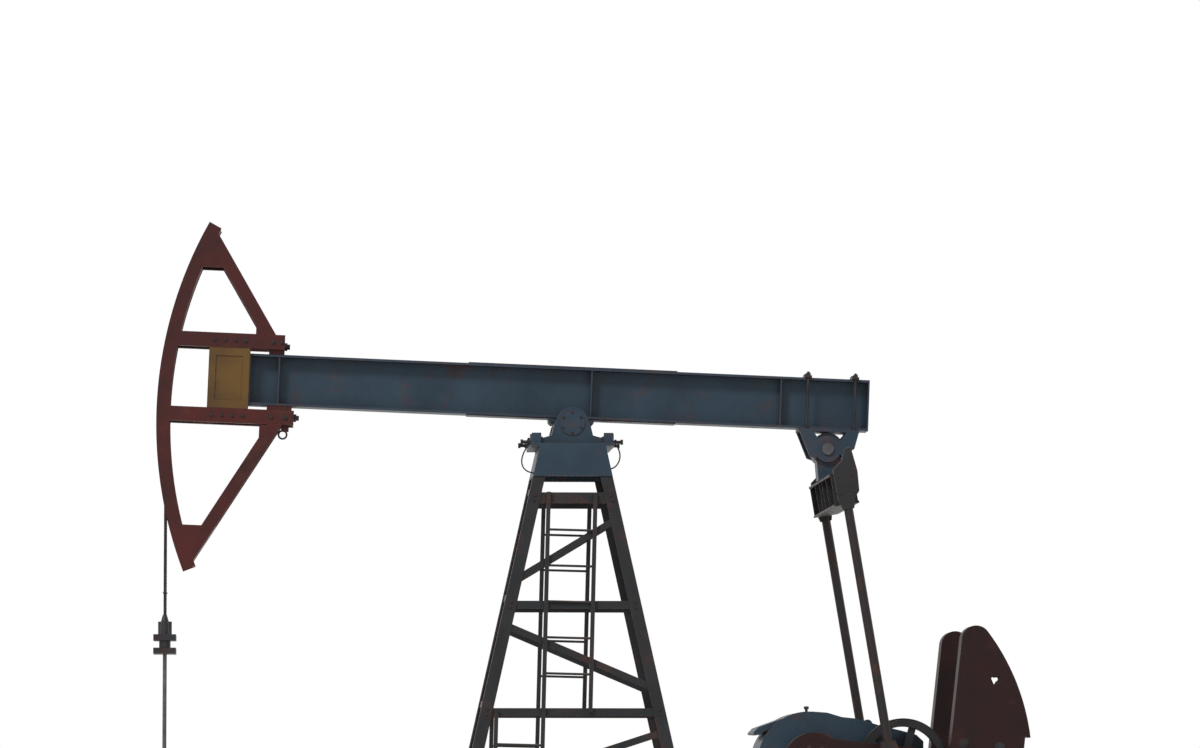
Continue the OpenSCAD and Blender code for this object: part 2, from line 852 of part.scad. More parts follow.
module polished_rod() {
  color("#9aa0a4") translate([well_x, 0, rod_end_h]) {
    cylinder(r = thread_r, h = thread_l + past);
    translate([0, 0, thread_l]) cylinder(r = rod_d / 2, h = carrier_h + rod_above - rod_end_h - thread_l);
  }
}

// Rear hanger, equalizer and pitmans

hanger_cheek_in = 132;
hanger_cheek_t = 32;
hanger_bolt_xs = [-185, 215];

// Place of the rear bearing in the beam's own frame
rear_bx = rear_x * cos(rest_tilt) + rear_drop * sin(rest_tilt);
rear_bz = rear_x * sin(rest_tilt) - rear_drop * cos(rest_tilt);

module rear_hanger() {
  up = beam_lift - rear_bz;
  plate_t = 22;
  color("#33475a") on_beam() translate([rear_bx, 0, rear_bz]) difference() {
    union() {
      translate([-250, -hanger_cheek_in - hanger_cheek_t, up - plate_t])
        cube([510, 2 * (hanger_cheek_in + hanger_cheek_t), plate_t]);
      both_sides(hanger_cheek_in, hanger_cheek_in + hanger_cheek_t) {
        circle(r = 112, $fn = fine);
        polygon([[-250, up - plate_t / 2], [-140, up - plate_t / 2], [-52, 50], [-95, -88], [-150, -70]]);
        polygon([[165, up - plate_t / 2], [260, up - plate_t / 2], [225, 10], [128, -72], [64, 30]]);
      }
    }
    cross_bar(rear_pin_r, -far / 2, far / 2);
  }
}

module rear_pin() {
  half = hanger_cheek_in + hanger_cheek_t + 18;
  color("#8d9499") on_beam() translate([rear_bx, 0, rear_bz]) cross_bar(rear_pin_r, -half, half);
}

module hanger_bolts() {
  clamp_t = 18;
  bolt_y = beam_w / 2 + 14;
  color("#4b5054") on_beam()
    for (x = hanger_bolt_xs) translate([rear_bx + x, 0, 0]) {
      translate([-30, -bolt_y - 24, beam_top]) cube([60, 2 * bolt_y + 48, clamp_t]);
      for (s = [-1, 1]) translate([0, s * bolt_y, 0]) {
        translate([0, 0, beam_lift]) cylinder(r = 12, h = beam_h + 50);
        translate([0, 0, beam_top + clamp_t]) cylinder(r = 21, h = 20, $fn = 6);
      }
    }
}

module equalizer_bearing() {
  half = hanger_cheek_in - side_gap - 2;
  neck = 95;
  color("#33475a") at_rear_bearing() difference() {
    union() {
      cross_bar(rear_housing_r, -half, half);
      side_plate(-half + 10, half - 10)
        polygon([[-neck, 0], [neck, 0], [neck + 20, -traverse_drop + 24], [neck + 20, -traverse_drop],
                 [-neck - 20, -traverse_drop], [-neck - 20, -traverse_drop + 24]]);
    }
    cross_bar(rear_pin_r + run_gap, -half - past, half + past);
  }
}

module traverse() {
  half = pitman_y - pitman_r - 14;
  w = traverse_w / 2;
  color("#2d3033") at_rear_bearing() {
    translate([0, -half, -traverse_drop - traverse_h]) rotate([0, 0, 90])
      rolled_beam(2 * half, traverse_h, traverse_w, 18, 14);
    for (y = [-half, -half * 0.5, -130, 118, half * 0.5 - 12, half - 12])
      translate([-w + 8, y, -traverse_drop - traverse_h + 8]) cube([traverse_w - 16, 12, traverse_h - 16]);
  }
}

// Tube with an upper end plate on the traverse and a round head at the crank pin
module pitman(side_y) {
  pin_r = 46;
  y_face = pitman_y - pitman_head_half;
  mirror([0, side_y < 0 ? 1 : 0, 0]) {
    translate([0, pitman_y, -pitman_l + pitman_head_r - 20])
      cylinder(r = pitman_r, h = pitman_l - pitman_head_r + 20 - traverse_drop + 10);
    translate([-60, pitman_y - pitman_r - 14, -traverse_drop - traverse_h + 20]) cube([120, 24, traverse_h - 30]);
    translate([0, 0, -pitman_l]) {
      cross_bar(pitman_head_r, y_face, pitman_y + pitman_head_half - 20);
      cross_bar(pin_r + 34, pitman_y, pitman_y + pitman_head_half);
    }
    side_plate(pitman_y - 50, pitman_y + 50) translate([0, -pitman_l])
      polygon([[-105, 60], [105, 60], [58, 250], [-58, 250]]);
  }
}

module pitman_near() {
  color("#3a2b26") at_rear_bearing() pitman(-1);
}

module pitman_far() {
  color("#3a2b26") at_rear_bearing() pitman(1);
}

// Cranks and counterweights

module crankshaft() {
  color("#8d9499") at_crankshaft() cross_bar(crankshaft_r, -crank_face - 20, crank_face + 20);
}

pin_count = 3;
weight_flat = weight_r - 90;

module crank(side_y) {
  mirror([0, side_y < 0 ? 1 : 0, 0]) difference() {
    union() {
      side_plate(crank_in, crank_face) {
        circle(r = 250, $fn = fine);
        polygon([[0, -crank_half], [arm_l, -crank_half], [arm_l, crank_half], [0, crank_half]]);
      }
      cross_bar(170, crank_in - 30, crank_face + 20);
      translate([crank_throw, 0, 0]) cross_bar(pin_boss_r, crank_face - past, crank_face + pin_boss_l);
    }
    cross_bar(crankshaft_r, crank_in - 40, crank_face + 40);
    for (i = [1 : pin_count])
      translate([crank_throw + i * pin_pitch, 0, 0]) cross_bar(pin_hole_r, crank_in - past, crank_face + past);
    for (s = [-1, 1])
      translate([crank_throw - 40, s * (crank_half - 70) - 22, 0])
        cross_bar(20, crank_in - past, crank_face + past);
  }
}

module crank_near() {
  color("#3b1512") on_crank() crank(-1);
}

module crank_far() {
  color("#3b1512") on_crank() crank(1);
}

weight_corner_r = 120;
hole_turn = 30.7;
hole_at = 1650;

// Upper half of a pair of weights: arc outside, straight inside, rounded corner, lifting eye
module weight_outline() {
  difference() {
    offset(r = weight_corner_r, $fn = 96) offset(delta = -weight_corner_r) intersection() {
      circle(r = weight_r, $fn = 2 * fine);
      polygon([[weight_chord, -far], [far, -far], [far, far], [weight_chord, far]]);
    }
    translate([-far, -far]) square([2 * far, far + crank_half]);
    translate([weight_flat, 0]) square([far, 405]);
    translate([hole_at * cos(hole_turn), hole_at * sin(hole_turn)]) rotate(hole_turn) circle(r = 32);
    translate([(hole_at + 36) * cos(hole_turn), (hole_at + 36) * sin(hole_turn)]) circle(r = 18);
  }
}

module weights(side_y) {
  y_mid = crank_in + crank_t / 2;
  mirror([0, side_y < 0 ? 1 : 0, 0]) for (s = [0, 1])
    mirror([0, 0, s]) side_plate(y_mid - weight_t / 2, y_mid + weight_t / 2) weight_outline();
}

module weights_near() {
  color("#4a1512") on_crank() weights(-1);
}

module weights_far() {
  color("#4a1512") on_crank() weights(1);
}

// Gearbox

module gearbox_bores() {
  cross_bar(crankshaft_r + run_gap, -far / 2, far / 2);
  translate([input_x, 0, 0]) cross_bar(input_shaft_r + run_gap, -far / 2, far / 2);
}

module gearbox_lower() {
  color("#33475a") at_crankshaft() difference() {
    union() {
      side_plate(-gearbox_half, gearbox_half)
        polygon([[-gearbox_r, 0], [-gearbox_r, -240], [-330, -gearbox_foot + 30], [input_x - 60, -gearbox_foot + 30],
                 [input_x + 190, -250], [input_x + 190, 0]]);
      translate([gearbox_front, -gearbox_half - 40, -28])
        cube([gearbox_rear - gearbox_front, 2 * gearbox_half + 80, 28]);
      translate([gearbox_front, -gearbox_half - 40, -gearbox_foot])
        cube([gearbox_rear - gearbox_front - 120, 2 * gearbox_half + 80, 30]);
      cross_bar(190, -gearbox_half - 80, gearbox_half + 80);
      translate([input_x, 0, 0]) cross_bar(110, -gearbox_half - 60, gearbox_half + 60);
      translate([input_x / 2 + 30, 0, 0]) cross_bar(130, -gearbox_half - 40, gearbox_half + 40);
    }
    gearbox_bores();
    translate([-far / 2, -far / 2, 0]) cube([far, far, far]);
  }
}

module gearbox_cover() {
  color("#33475a") at_crankshaft() difference() {
    union() {
      side_plate(-gearbox_half, gearbox_half) {
        circle(r = gearbox_r, $fn = fine);
        polygon([[0, 0], [-58, gearbox_r - 9], [26, gearbox_r], [152, gearbox_r - 9], [278, gearbox_r - 46],
                 [404, gearbox_r - 59], [614, 310], [input_x - 5, 276], [input_x + 130, 239],
                 [input_x + 190, 184], [input_x + 190, 0]]);
      }
      side_plate(-gearbox_half + 60, gearbox_half - 60)
        polygon([[-453, 244], [-459, 256], [-453, 266], [-419, 301], [-184, 386], [-58, 424], [-58, 380],
                 [-184, 340], [-380, 262], [-400, 240]]);
      translate([gearbox_front, -gearbox_half - 40, 0])
        cube([gearbox_rear - gearbox_front, 2 * gearbox_half + 80, 28]);
      cross_bar(190, -gearbox_half - 80, gearbox_half + 80);
      translate([input_x, 0, 0]) cross_bar(110, -gearbox_half - 60, gearbox_half + 60);
      translate([input_x / 2 + 30, 0, 0]) cross_bar(130, -gearbox_half - 40, gearbox_half + 40);
      translate([13, 0, gearbox_r - 30]) cylinder(r = 12, h = 60);
      translate([13, 0, gearbox_r + 26]) cylinder(r = 21, h = 24);
      translate([530, 0, 330]) side_plate(-8, 8) difference() {
        circle(r = 42);
        circle(r = 20);
      }
    }
    gearbox_bores();
    translate([-far / 2, -far / 2, -far]) cube([far, far, far]);
  }
}

// Stand under the gearbox

stand_half = gearbox_half + 10;
stand_z1 = gearbox_top_z;
stand_t = 16;
stand_foot = 80;
stand_post = 60;
stand_x0 = crank_x - 440;
stand_x1 = crank_x + 920;

module stand_outline(inset) {
  polygon([[stand_x0 - 60 + inset, skid_h + inset], [stand_x1 + 60 - inset, skid_h + inset],
           [stand_x1 - inset, stand_z1 - inset], [stand_x0 + inset, stand_z1 - inset]]);
}

module stand_sides() {
  bay = middle(stand_x0, stand_x1) - stand_x0 - stand_post;
  color("#2c3d4c") at_post() {
    both_sides(stand_half - stand_t, stand_half) difference() {
      stand_outline(0);
      for (x = [stand_x0, stand_x1 - bay])
        offset(r = 60) offset(delta = -60) intersection() {
          stand_outline(110);
          translate([x, 0]) square([bay, far]);
        }
    }
    both_sides(stand_half - stand_t, stand_half + stand_foot)
      translate([stand_x0 - 60, skid_h]) square([stand_x1 - stand_x0 + 120, 20]);
  }
}

module stand_ties() {
  y_in = stand_half - stand_t;
  color("#2c3d4c") at_post() {
    for (x = [stand_x0 + 10, middle(stand_x0, stand_x1) - 6, stand_x1 - 22])
      for (z = [skid_h + 20, stand_z1 - 160])
        translate([x, -y_in, z]) cube([12, 2 * y_in, 140]);
  }
}

// Drive

module input_shaft() {
  color("#8d9499") translate([input_px, 0, crank_h])
    cross_bar(input_shaft_r, -sheave_out - 15, sheave_out + 15);
}

spoke_count = 6;

module driven_sheave() {
  rim_in = sheave_r - 58;
  hub_r = 78;
  color("#2d3033") translate([input_px, 0, crank_h]) difference() {
    union() {
      difference() {
        cross_bar(sheave_r, -sheave_out, -sheave_in);
        cross_bar(rim_in, -sheave_out - past, -sheave_in + past);
      }
      cross_bar(hub_r, -sheave_out, -sheave_in);
      for (i = [0 : spoke_count - 1])
        rotate([0, 360 / spoke_count * i - 75, 0])
          translate([hub_r - 8, -sheave_out + 35, -30]) cube([rim_in - hub_r + 16, sheave_w - 70, 60]);
    }
    cross_bar(input_shaft_r, -far / 2, far / 2);
  }
}

module brake_drum() {
  color("#2d3033") translate([input_px, 0, crank_h]) difference() {
    cross_bar(drum_r, sheave_in, sheave_out - 20);
    cross_bar(drum_r - 18, sheave_in + 20, sheave_out);
    cross_bar(input_shaft_r, -far / 2, far / 2);
  }
}

module brake_shoes() {
  r0 = drum_r + side_gap;
  r1 = r0 + 22;
  y0 = sheave_in + 10;
  y1 = sheave_out - 30;
  arm_low = -300;
  color("#3c4145") translate([input_px, 0, crank_h]) {
    for (s = [0, 1]) mirror([s, 0, 0]) {
      side_plate(y0, y1) intersection() {
        difference() {
          circle(r = r1, $fn = fine);
          circle(r = r0, $fn = fine);
        }
        polygon([[0, 0], [far, -far * 0.9], [far, far * 0.9]]);
      }
      side_plate(middle(y0, y1) - 12, middle(y0, y1) + 12)
        polygon([[r1 - 8, 130], [r1 + 26, 130], [r1 + 26, -90], [60, arm_low], [0, arm_low], [0, arm_low + 20],
                 [r1 - 8, -100]]);
    }
    side_plate(gearbox_half, middle(y0, y1) + 12) translate([-60, arm_low - 60]) square([120, 70]);
  }
}

module motor() {
  foot_h = motor_r + 25;
  y0 = -sheave_in + 50;
  y1 = y0 + 640;
  color("#4a5a64") translate([motor_px, 0, motor_h]) {
    difference() {
      union() {
        cross_bar(motor_r, y0 + 60, y1 - 90);
        for (i = [0 : 23])
          rotate([0, i * 15, 0]) translate([motor_r - 4, y0 + 70, -4]) cube([20, 460, 8]);
        cross_bar(motor_r + 18, y0 + 40, y0 + 64);
        cross_bar(motor_r + 18, y1 - 94, y1 - 74);
        cross_bar(motor_r - 20, y1 - 80, y1);
        cross_bar(90, y0, y0 + 50);
        for (s = [-1, 1])
          translate([s * 150 - 50, y0 + 110, -foot_h]) cube([100, 380, foot_h - 110]);
        translate([-80, y0 + 200, motor_r - 20]) cube([160, 180, 90]);
      }
      cross_bar(30 + run_gap, y0 - past, y0 + 200);
    }
  }
}

module motor_rails() {
  top = motor_h - motor_r - 25;
  rails_z = skid_h - skid_flange;
  rail_y = [-sheave_in + 190, -sheave_in + 470];
  color("#2c3d4c") for (y = rail_y)
    translate([motor_px - 420, y - 45, rails_z]) difference() {
      cube([840, 90, top - rails_z]);
      translate([40, -past, 20]) cube([760, 36, top - rails_z - 50]);
      translate([40, 55, 20]) cube([760, 36, top - rails_z - 50]);
    }
}

module motor_sheave() {
  color("#2d3033") translate([motor_px, 0, motor_h]) union() {
    cross_bar(motor_sheave_r, -sheave_out, -sheave_in);
    cross_bar(30, -sheave_in - past, -sheave_in + 200);
  }
}

// Outline round the two sheaves, a given amount outside them
module belt_outline(out) {
  hull() {
    circle(r = sheave_r + out, $fn = fine);
    translate([motor_back, motor_h - crank_h]) circle(r = motor_sheave_r + out, $fn = fine / 2);
  }
}

module drive_belt() {
  seat = 0.3;
  color("#1e1e1e") translate([input_px, 0, crank_h])
    side_plate(-sheave_out + 8, -sheave_in - 8) difference() {
      belt_outline(seat + belt_t);
      belt_outline(seat);
    }
}

skid_rails();
skid_cross_members();
leg_feet();
post_legs();
post_girts();
post_braces();
post_side_ties();
post_head();
ladder_near();
ladder_far();
bearing_near();
bearing_far();
adjusting_blocks();
adjusting_screws();
walking_beam();
saddle_block();
saddle_shaft();
head_cheeks();
head_track();
head_struts();
head_braces();
head_gussets();
head_box();
head_pads();
head_latches();
rope_wrap();
hanging_ropes();
rope_sockets();
carrier_bars();
rod_clamp();
polished_rod();
rear_hanger();
rear_pin();
hanger_bolts();
equalizer_bearing();
traverse();
pitman_near();
pitman_far();
crankshaft();
crank_near();
crank_far();
weights_near();
weights_far();
gearbox_lower();
gearbox_cover();
stand_sides();
stand_ties();
input_shaft();
driven_sheave();
brake_drum();
brake_shoes();
motor();
motor_rails();
motor_sheave();
drive_belt();
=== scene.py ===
import json
import math
import bmesh
import bpy
from mathutils import Matrix, Vector


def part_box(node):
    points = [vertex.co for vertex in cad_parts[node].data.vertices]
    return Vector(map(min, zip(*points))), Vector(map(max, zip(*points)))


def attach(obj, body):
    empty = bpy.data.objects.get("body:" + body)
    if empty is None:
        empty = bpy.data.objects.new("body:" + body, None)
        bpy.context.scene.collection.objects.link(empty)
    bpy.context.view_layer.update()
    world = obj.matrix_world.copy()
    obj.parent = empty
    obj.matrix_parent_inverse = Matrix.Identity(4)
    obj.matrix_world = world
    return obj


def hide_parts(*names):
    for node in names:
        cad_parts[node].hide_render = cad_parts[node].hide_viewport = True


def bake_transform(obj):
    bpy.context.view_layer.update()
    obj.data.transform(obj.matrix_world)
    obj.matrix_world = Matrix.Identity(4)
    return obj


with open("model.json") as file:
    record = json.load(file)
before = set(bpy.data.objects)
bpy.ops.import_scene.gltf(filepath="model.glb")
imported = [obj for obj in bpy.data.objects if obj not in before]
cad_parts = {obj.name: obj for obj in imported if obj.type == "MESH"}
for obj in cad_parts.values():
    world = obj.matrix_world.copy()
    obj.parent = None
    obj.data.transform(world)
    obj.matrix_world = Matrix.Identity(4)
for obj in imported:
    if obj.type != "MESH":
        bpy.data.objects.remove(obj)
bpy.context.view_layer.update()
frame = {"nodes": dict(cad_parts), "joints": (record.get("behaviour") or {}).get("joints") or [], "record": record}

jointPlace = {j["name"]: Vector(j["pos_m"]) for j in frame["joints"] if "pos_m" in j}
pivot = jointPlace["beam_rock"]
rearBearing = jointPlace["equalizer_swing"]
crankShaft = jointPlace["crank_turn"]

# how the unit stands: beam tilt, pitman lean and crank droop, in degrees
stance = {"beamTilt": 2.25, "pitmanLean": 9.46, "crankDroop": 6.3}


def turned(centre, degrees):
    return Matrix.Translation(centre) @ Matrix.Rotation(math.radians(degrees), 4, "Y")


beamFrame = turned(pivot, stance["beamTilt"])
pitmanFrame = turned(rearBearing, -stance["pitmanLean"])
crankFrame = turned(crankShaft, stance["crankDroop"])
gearboxFrame = Matrix.Translation(crankShaft)
groundFrame = Matrix.Translation((pivot.x, 0, 0))
saddleFrame = Matrix.Translation(pivot)

bothSides = ((-1, "Near"), (1, "Far"))  # the near side faces the camera, at negative y

# camera, a long lens from the near side

cameraPlan = {"side": -2.48, "distance": 50.0, "height": 1.78, "lens": 178.5, "sensor": 36, "turn": 3.126,
              "pitch": 4.29, "farthest": 400}


def makeCamera():
    data = bpy.data.cameras.new("camera")
    data.lens = cameraPlan["lens"]
    data.sensor_width = cameraPlan["sensor"]
    data.clip_end = cameraPlan["farthest"]
    camera = bpy.data.objects.new("camera", data)
    camera.location = (pivot.x + cameraPlan["side"], -cameraPlan["distance"], cameraPlan["height"])
    camera.rotation_euler = (math.radians(90 + cameraPlan["pitch"]), 0, -math.radians(cameraPlan["turn"]))
    bpy.context.scene.collection.objects.link(camera)
    bpy.context.scene.camera = camera


makeCamera()
print("camera placed")

# node helpers


def addNode(tree, kind, values=None, **settings):
    node = tree.nodes.new(kind)
    for key, value in settings.items():
        setattr(node, key, value)
    for key, value in (values or {}).items():
        if isinstance(value, bpy.types.NodeSocket):
            tree.links.new(value, node.inputs[key])
        else:
            node.inputs[key].default_value = value
    return node


def mathNode(tree, operation, a, b=0.0, clamp=False):
    return addNode(tree, "ShaderNodeMath", {0: a, 1: b}, operation=operation, use_clamp=clamp).outputs[0]


def mapped(tree, value, low, high, outLow=0.0, outHigh=1.0):
    values = {"Value": value, "From Min": low, "From Max": high, "To Min": outLow, "To Max": outHigh}
    return addNode(tree, "ShaderNodeMapRange", values).outputs[0]


def mixColour(tree, factor, a, b):
    node = addNode(tree, "ShaderNodeMix", data_type="RGBA")
    for socket, value in ((node.inputs[0], factor), (node.inputs[6], a), (node.inputs[7], b)):
        if isinstance(value, bpy.types.NodeSocket):
            tree.links.new(value, socket)
        else:
            socket.default_value = value
    return node.outputs[2]


def noise(tree, vector, scale, detail, rough):
    values = {"Vector": vector, "Scale": scale, "Detail": detail, "Roughness": rough}
    return addNode(tree, "ShaderNodeTexNoise", values).outputs[0]


def pattern(tree, vector, plan, scale=None):
    if scale is None:
        scale = plan["scale"]
    field = noise(tree, vector, scale, plan["detail"], plan["rough"])
    return mapped(tree, field, plan["low"], plan["high"])


floatKind = "NodeSocketFloat"
colourKind = "NodeSocketColor"
countKind = "NodeSocketInt"
materialKind = "NodeSocketMaterial"
geometryKind = "NodeSocketGeometry"


def groupTree(name, inputs, outputs, kind="ShaderNodeTree"):
    tree = bpy.data.node_groups.new(name, kind)
    for label, socketKind in inputs:
        tree.interface.new_socket(label, in_out="INPUT", socket_type=socketKind)
    for label, socketKind in outputs:
        tree.interface.new_socket(label, in_out="OUTPUT", socket_type=socketKind)
    return tree, tree.nodes.new("NodeGroupInput").outputs, tree.nodes.new("NodeGroupOutput").inputs


# weathering that all finishes share: patchy paint, rain streaks of rust, worn edges, dust on top
# low and high are the noise values that become 0 and 1

weatherPlan = {
    "patches": {"detail": 8.0, "rough": 0.6, "low": 0.36, "high": 0.66},
    "streaks": {"scale": 1.0, "detail": 6.0, "rough": 0.6, "low": 0.52, "high": 0.74},
    "streakStretch": (11.0, 11.0, 0.9),
    "specks": {"scale": 26.0, "detail": 8.0, "rough": 0.72, "low": 0.50, "high": 0.66},
    "blotches": {"scale": 3.1, "detail": 9.0, "rough": 0.68, "low": 0.54, "high": 0.70},
    "chips": {"scale": 17.0, "detail": 7.0, "rough": 0.7, "low": 0.38, "high": 0.58},
    "grain": {"scale": 160.0, "detail": 3.0, "rough": 0.6, "height": 0.12},
    "edge": {"radius": 0.009, "samples": 4, "flat": 0.995, "worn": 0.90},
    "dust": {"steep": 0.35, "level": 0.95, "least": 0.45},
    "darkRust": (0.030, 0.014, 0.009, 1.0),
    "rustRoughness": 0.38,
    "dustRoughness": 0.3,
    "bump": {"strength": 0.35, "distance": 0.004},
}


def makeWeathering():
    plan = weatherPlan
    inputs = [("Paint", colourKind), ("Faded", colourKind), ("Rust", colourKind), ("Dust", colourKind),
              ("Patch Scale", floatKind), ("Rust Amount", floatKind), ("Edge Amount", floatKind),
              ("Dust Amount", floatKind), ("Gloss", floatKind)]
    outputs = [("Color", colourKind), ("Roughness", floatKind), ("Height", floatKind)]
    tree, source, result = groupTree("weathering", inputs, outputs)
    place = addNode(tree, "ShaderNodeTexCoord").outputs["Object"]
    patches = pattern(tree, place, plan["patches"], source["Patch Scale"])
    paint = mixColour(tree, patches, source["Paint"], source["Faded"])

    # rust: rain streaks broken up by specks, and larger blotches
    runs = addNode(tree, "ShaderNodeMapping", {"Vector": place, "Scale": plan["streakStretch"]}).outputs[0]
    streaks = pattern(tree, runs, plan["streaks"])
    specks = pattern(tree, place, plan["specks"])
    blotches = pattern(tree, place, plan["blotches"])
    rustField = mathNode(tree, "MAXIMUM", mathNode(tree, "MULTIPLY", streaks, specks), blotches)
    rustField = mathNode(tree, "MULTIPLY", rustField, source["Rust Amount"])

    # worn edges: where the rounded normal leaves the flat one
    values = {"Radius": plan["edge"]["radius"]}
    bevel = addNode(tree, "ShaderNodeBevel", values, samples=plan["edge"]["samples"]).outputs[0]
    flat = addNode(tree, "ShaderNodeNewGeometry").outputs["Normal"]
    facing = addNode(tree, "ShaderNodeVectorMath", {0: bevel, 1: flat}, operation="DOT_PRODUCT")
    edge = mapped(tree, facing.outputs["Value"], plan["edge"]["flat"], plan["edge"]["worn"])
    chips = pattern(tree, place, plan["chips"])
    edge = mathNode(tree, "MULTIPLY", mathNode(tree, "MULTIPLY", edge, chips), source["Edge Amount"])
    rusty = mathNode(tree, "MAXIMUM", rustField, edge, clamp=True)
    rustTone = mixColour(tree, specks, source["Rust"], plan["darkRust"])

    # dust on faces that look up
    upward = addNode(tree, "ShaderNodeSeparateXYZ", {0: flat}).outputs[2]
    settled = mapped(tree, upward, plan["dust"]["steep"], plan["dust"]["level"])
    uneven = mapped(tree, patches, 0.0, 1.0, plan["dust"]["least"], 1.0)
    dusty = mathNode(tree, "MULTIPLY", mathNode(tree, "MULTIPLY", settled, uneven), source["Dust Amount"])

    colour = mixColour(tree, dusty, mixColour(tree, rusty, paint, rustTone), source["Dust"])
    rough = mathNode(tree, "ADD", source["Gloss"], mathNode(tree, "MULTIPLY", rusty, plan["rustRoughness"]))
    dustRough = mathNode(tree, "MULTIPLY", dusty, plan["dustRoughness"])
    grain = noise(tree, place, plan["grain"]["scale"], plan["grain"]["detail"], plan["grain"]["rough"])
    grain = mathNode(tree, "MULTIPLY", grain, plan["grain"]["height"])
    tree.links.new(colour, result["Color"])
    tree.links.new(mathNode(tree, "ADD", rough, dustRough, clamp=True), result["Roughness"])
    tree.links.new(mathNode(tree, "ADD", mathNode(tree, "MULTIPLY", rusty, specks), grain), result["Height"])
    return tree


weathering = makeWeathering()


def colourOf(red, green, blue):
    def linear(value):
        share = value / 255
        return share / 12.92 if share <= 0.04045 else ((share + 0.055) / 1.055) ** 2.4  # the sRGB curve
    return (linear(red), linear(green), linear(blue), 1.0)


rustColour = colourOf(80, 43, 28)
dustColour = colourOf(132, 122, 108)

# finishes: paint, faded paint, patch scale, rust, worn edges, dust, roughness, metal, shine
# colours run from 0 to 255, the patch scale is per metre and the rest are shares
finishes = {
    "blue_paint": {"paint": (25, 42, 55), "faded": (38, 57, 71), "patch": 1.9, "rust": 0.60, "edge": 0.9,
                   "dust": 0.30, "gloss": 0.42, "metal": 0.0, "shine": 0.28},
    "dark_steel": {"paint": (22, 25, 29), "faded": (34, 36, 38), "patch": 2.2, "rust": 0.45, "edge": 0.9,
                   "dust": 0.30, "gloss": 0.48, "metal": 0.0, "shine": 0.25},
    "head_red": {"paint": (68, 20, 17), "faded": (42, 15, 15), "patch": 1.6, "rust": 0.70, "edge": 0.8,
                 "dust": 0.25, "gloss": 0.50, "metal": 0.0, "shine": 0.25},
    "ochre_paint": {"paint": (92, 66, 24), "faded": (66, 47, 22), "patch": 2.1, "rust": 0.75, "edge": 0.9,
                    "dust": 0.25, "gloss": 0.50, "metal": 0.0, "shine": 0.28},
    "pitman_brown": {"paint": (38, 29, 29), "faded": (29, 27, 29), "patch": 2.0, "rust": 0.75, "edge": 0.9,
                     "dust": 0.25, "gloss": 0.48, "metal": 0.0, "shine": 0.25},
    "weight_red": {"paint": (36, 10, 10), "faded": (23, 9, 10), "patch": 1.7, "rust": 0.25, "edge": 0.7,
                   "dust": 0.30, "gloss": 0.52, "metal": 0.0, "shine": 0.2},
    "motor_grey": {"paint": (62, 76, 84), "faded": (78, 90, 96), "patch": 2.4, "rust": 0.30, "edge": 0.8,
                   "dust": 0.35, "gloss": 0.42, "metal": 0.0, "shine": 0.35},
    "bare_steel": {"paint": (96, 96, 100), "faded": (72, 71, 74), "patch": 9.0, "rust": 0.35, "edge": 0.3,
                   "dust": 0.15, "gloss": 0.34, "metal": 0.8, "shine": 0.5},
    "bolt_steel": {"paint": (44, 48, 53), "faded": (35, 36, 38), "patch": 7.0, "rust": 0.45, "edge": 0.6,
                   "dust": 0.20, "gloss": 0.45, "metal": 0.5, "shine": 0.35},
    "rope": {"paint": (62, 60, 58), "faded": (38, 36, 34), "patch": 14.0, "rust": 0.45, "edge": 0.0,
             "dust": 0.10, "gloss": 0.36, "metal": 0.6, "shine": 0.35},
    "belt_rubber": {"paint": (24, 24, 25), "faded": (36, 35, 34), "patch": 4.0, "rust": 0.0, "edge": 0.0,
                    "dust": 0.45, "gloss": 0.62, "metal": 0.0, "shine": 0.2},
}


def makeFinish(name):
    look = finishes[name]
    material = bpy.data.materials.new(name)
    material.use_nodes = True
    tree = material.node_tree
    shader = tree.nodes["Principled BSDF"]
    values = {"Paint": colourOf(*look["paint"]), "Faded": colourOf(*look["faded"]), "Rust": rustColour,
              "Dust": dustColour, "Patch Scale": look["patch"], "Rust Amount": look["rust"],
              "Edge Amount": look["edge"], "Dust Amount": look["dust"], "Gloss": look["gloss"]}
    group = addNode(tree, "ShaderNodeGroup", values, node_tree=weathering)
    values = {"Strength": weatherPlan["bump"]["strength"], "Distance": weatherPlan["bump"]["distance"],
              "Height": group.outputs["Height"]}
    bump = addNode(tree, "ShaderNodeBump", values)
    shader.inputs["Metallic"].default_value = look["metal"]
    shader.inputs["Specular IOR Level"].default_value = look["shine"]
    tree.links.new(group.outputs["Color"], shader.inputs["Base Color"])
    tree.links.new(group.outputs["Roughness"], shader.inputs["Roughness"])
    tree.links.new(bump.outputs["Normal"], shader.inputs["Normal"])
    return material


materials = {name: makeFinish(name) for name in finishes}
slotOf = {entry["node"]: entry["material_slot"] for entry in frame["record"]["subparts"]}


def dressNodes():
    for name, node in frame["nodes"].items():
        finish = materials[slotOf[name]]
        if not node.material_slots:
            node.data.materials.append(finish)
        for holder in node.material_slots:
            holder.material = finish


dressNodes()
print("finishes made")


def linkPiece(name, mesh, body, finish):
    piece = bpy.data.objects.new(name, mesh)
    bpy.context.scene.collection.objects.link(piece)
    if not mesh.materials:
        mesh.materials.append(materials[finish])
    if body:
        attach(piece, body)
    return piece


# helpers for Geometry Nodes: closeTree makes instances real and paints them, and grownMesh turns what a
# tree makes into a plain mesh


def namedField(tree, name, kind):
    node = addNode(tree, "GeometryNodeInputNamedAttribute", {"Name": name}, data_type=kind)
    return node.outputs["Attribute"]


def closeTree(tree, geometry, material, result):
    real = addNode(tree, "GeometryNodeRealizeInstances", {"Geometry": geometry})
    painted = addNode(tree, "GeometryNodeSetMaterial", {"Geometry": real.outputs[0], "Material": material})
    tree.links.new(painted.outputs[0], result["Geometry"])


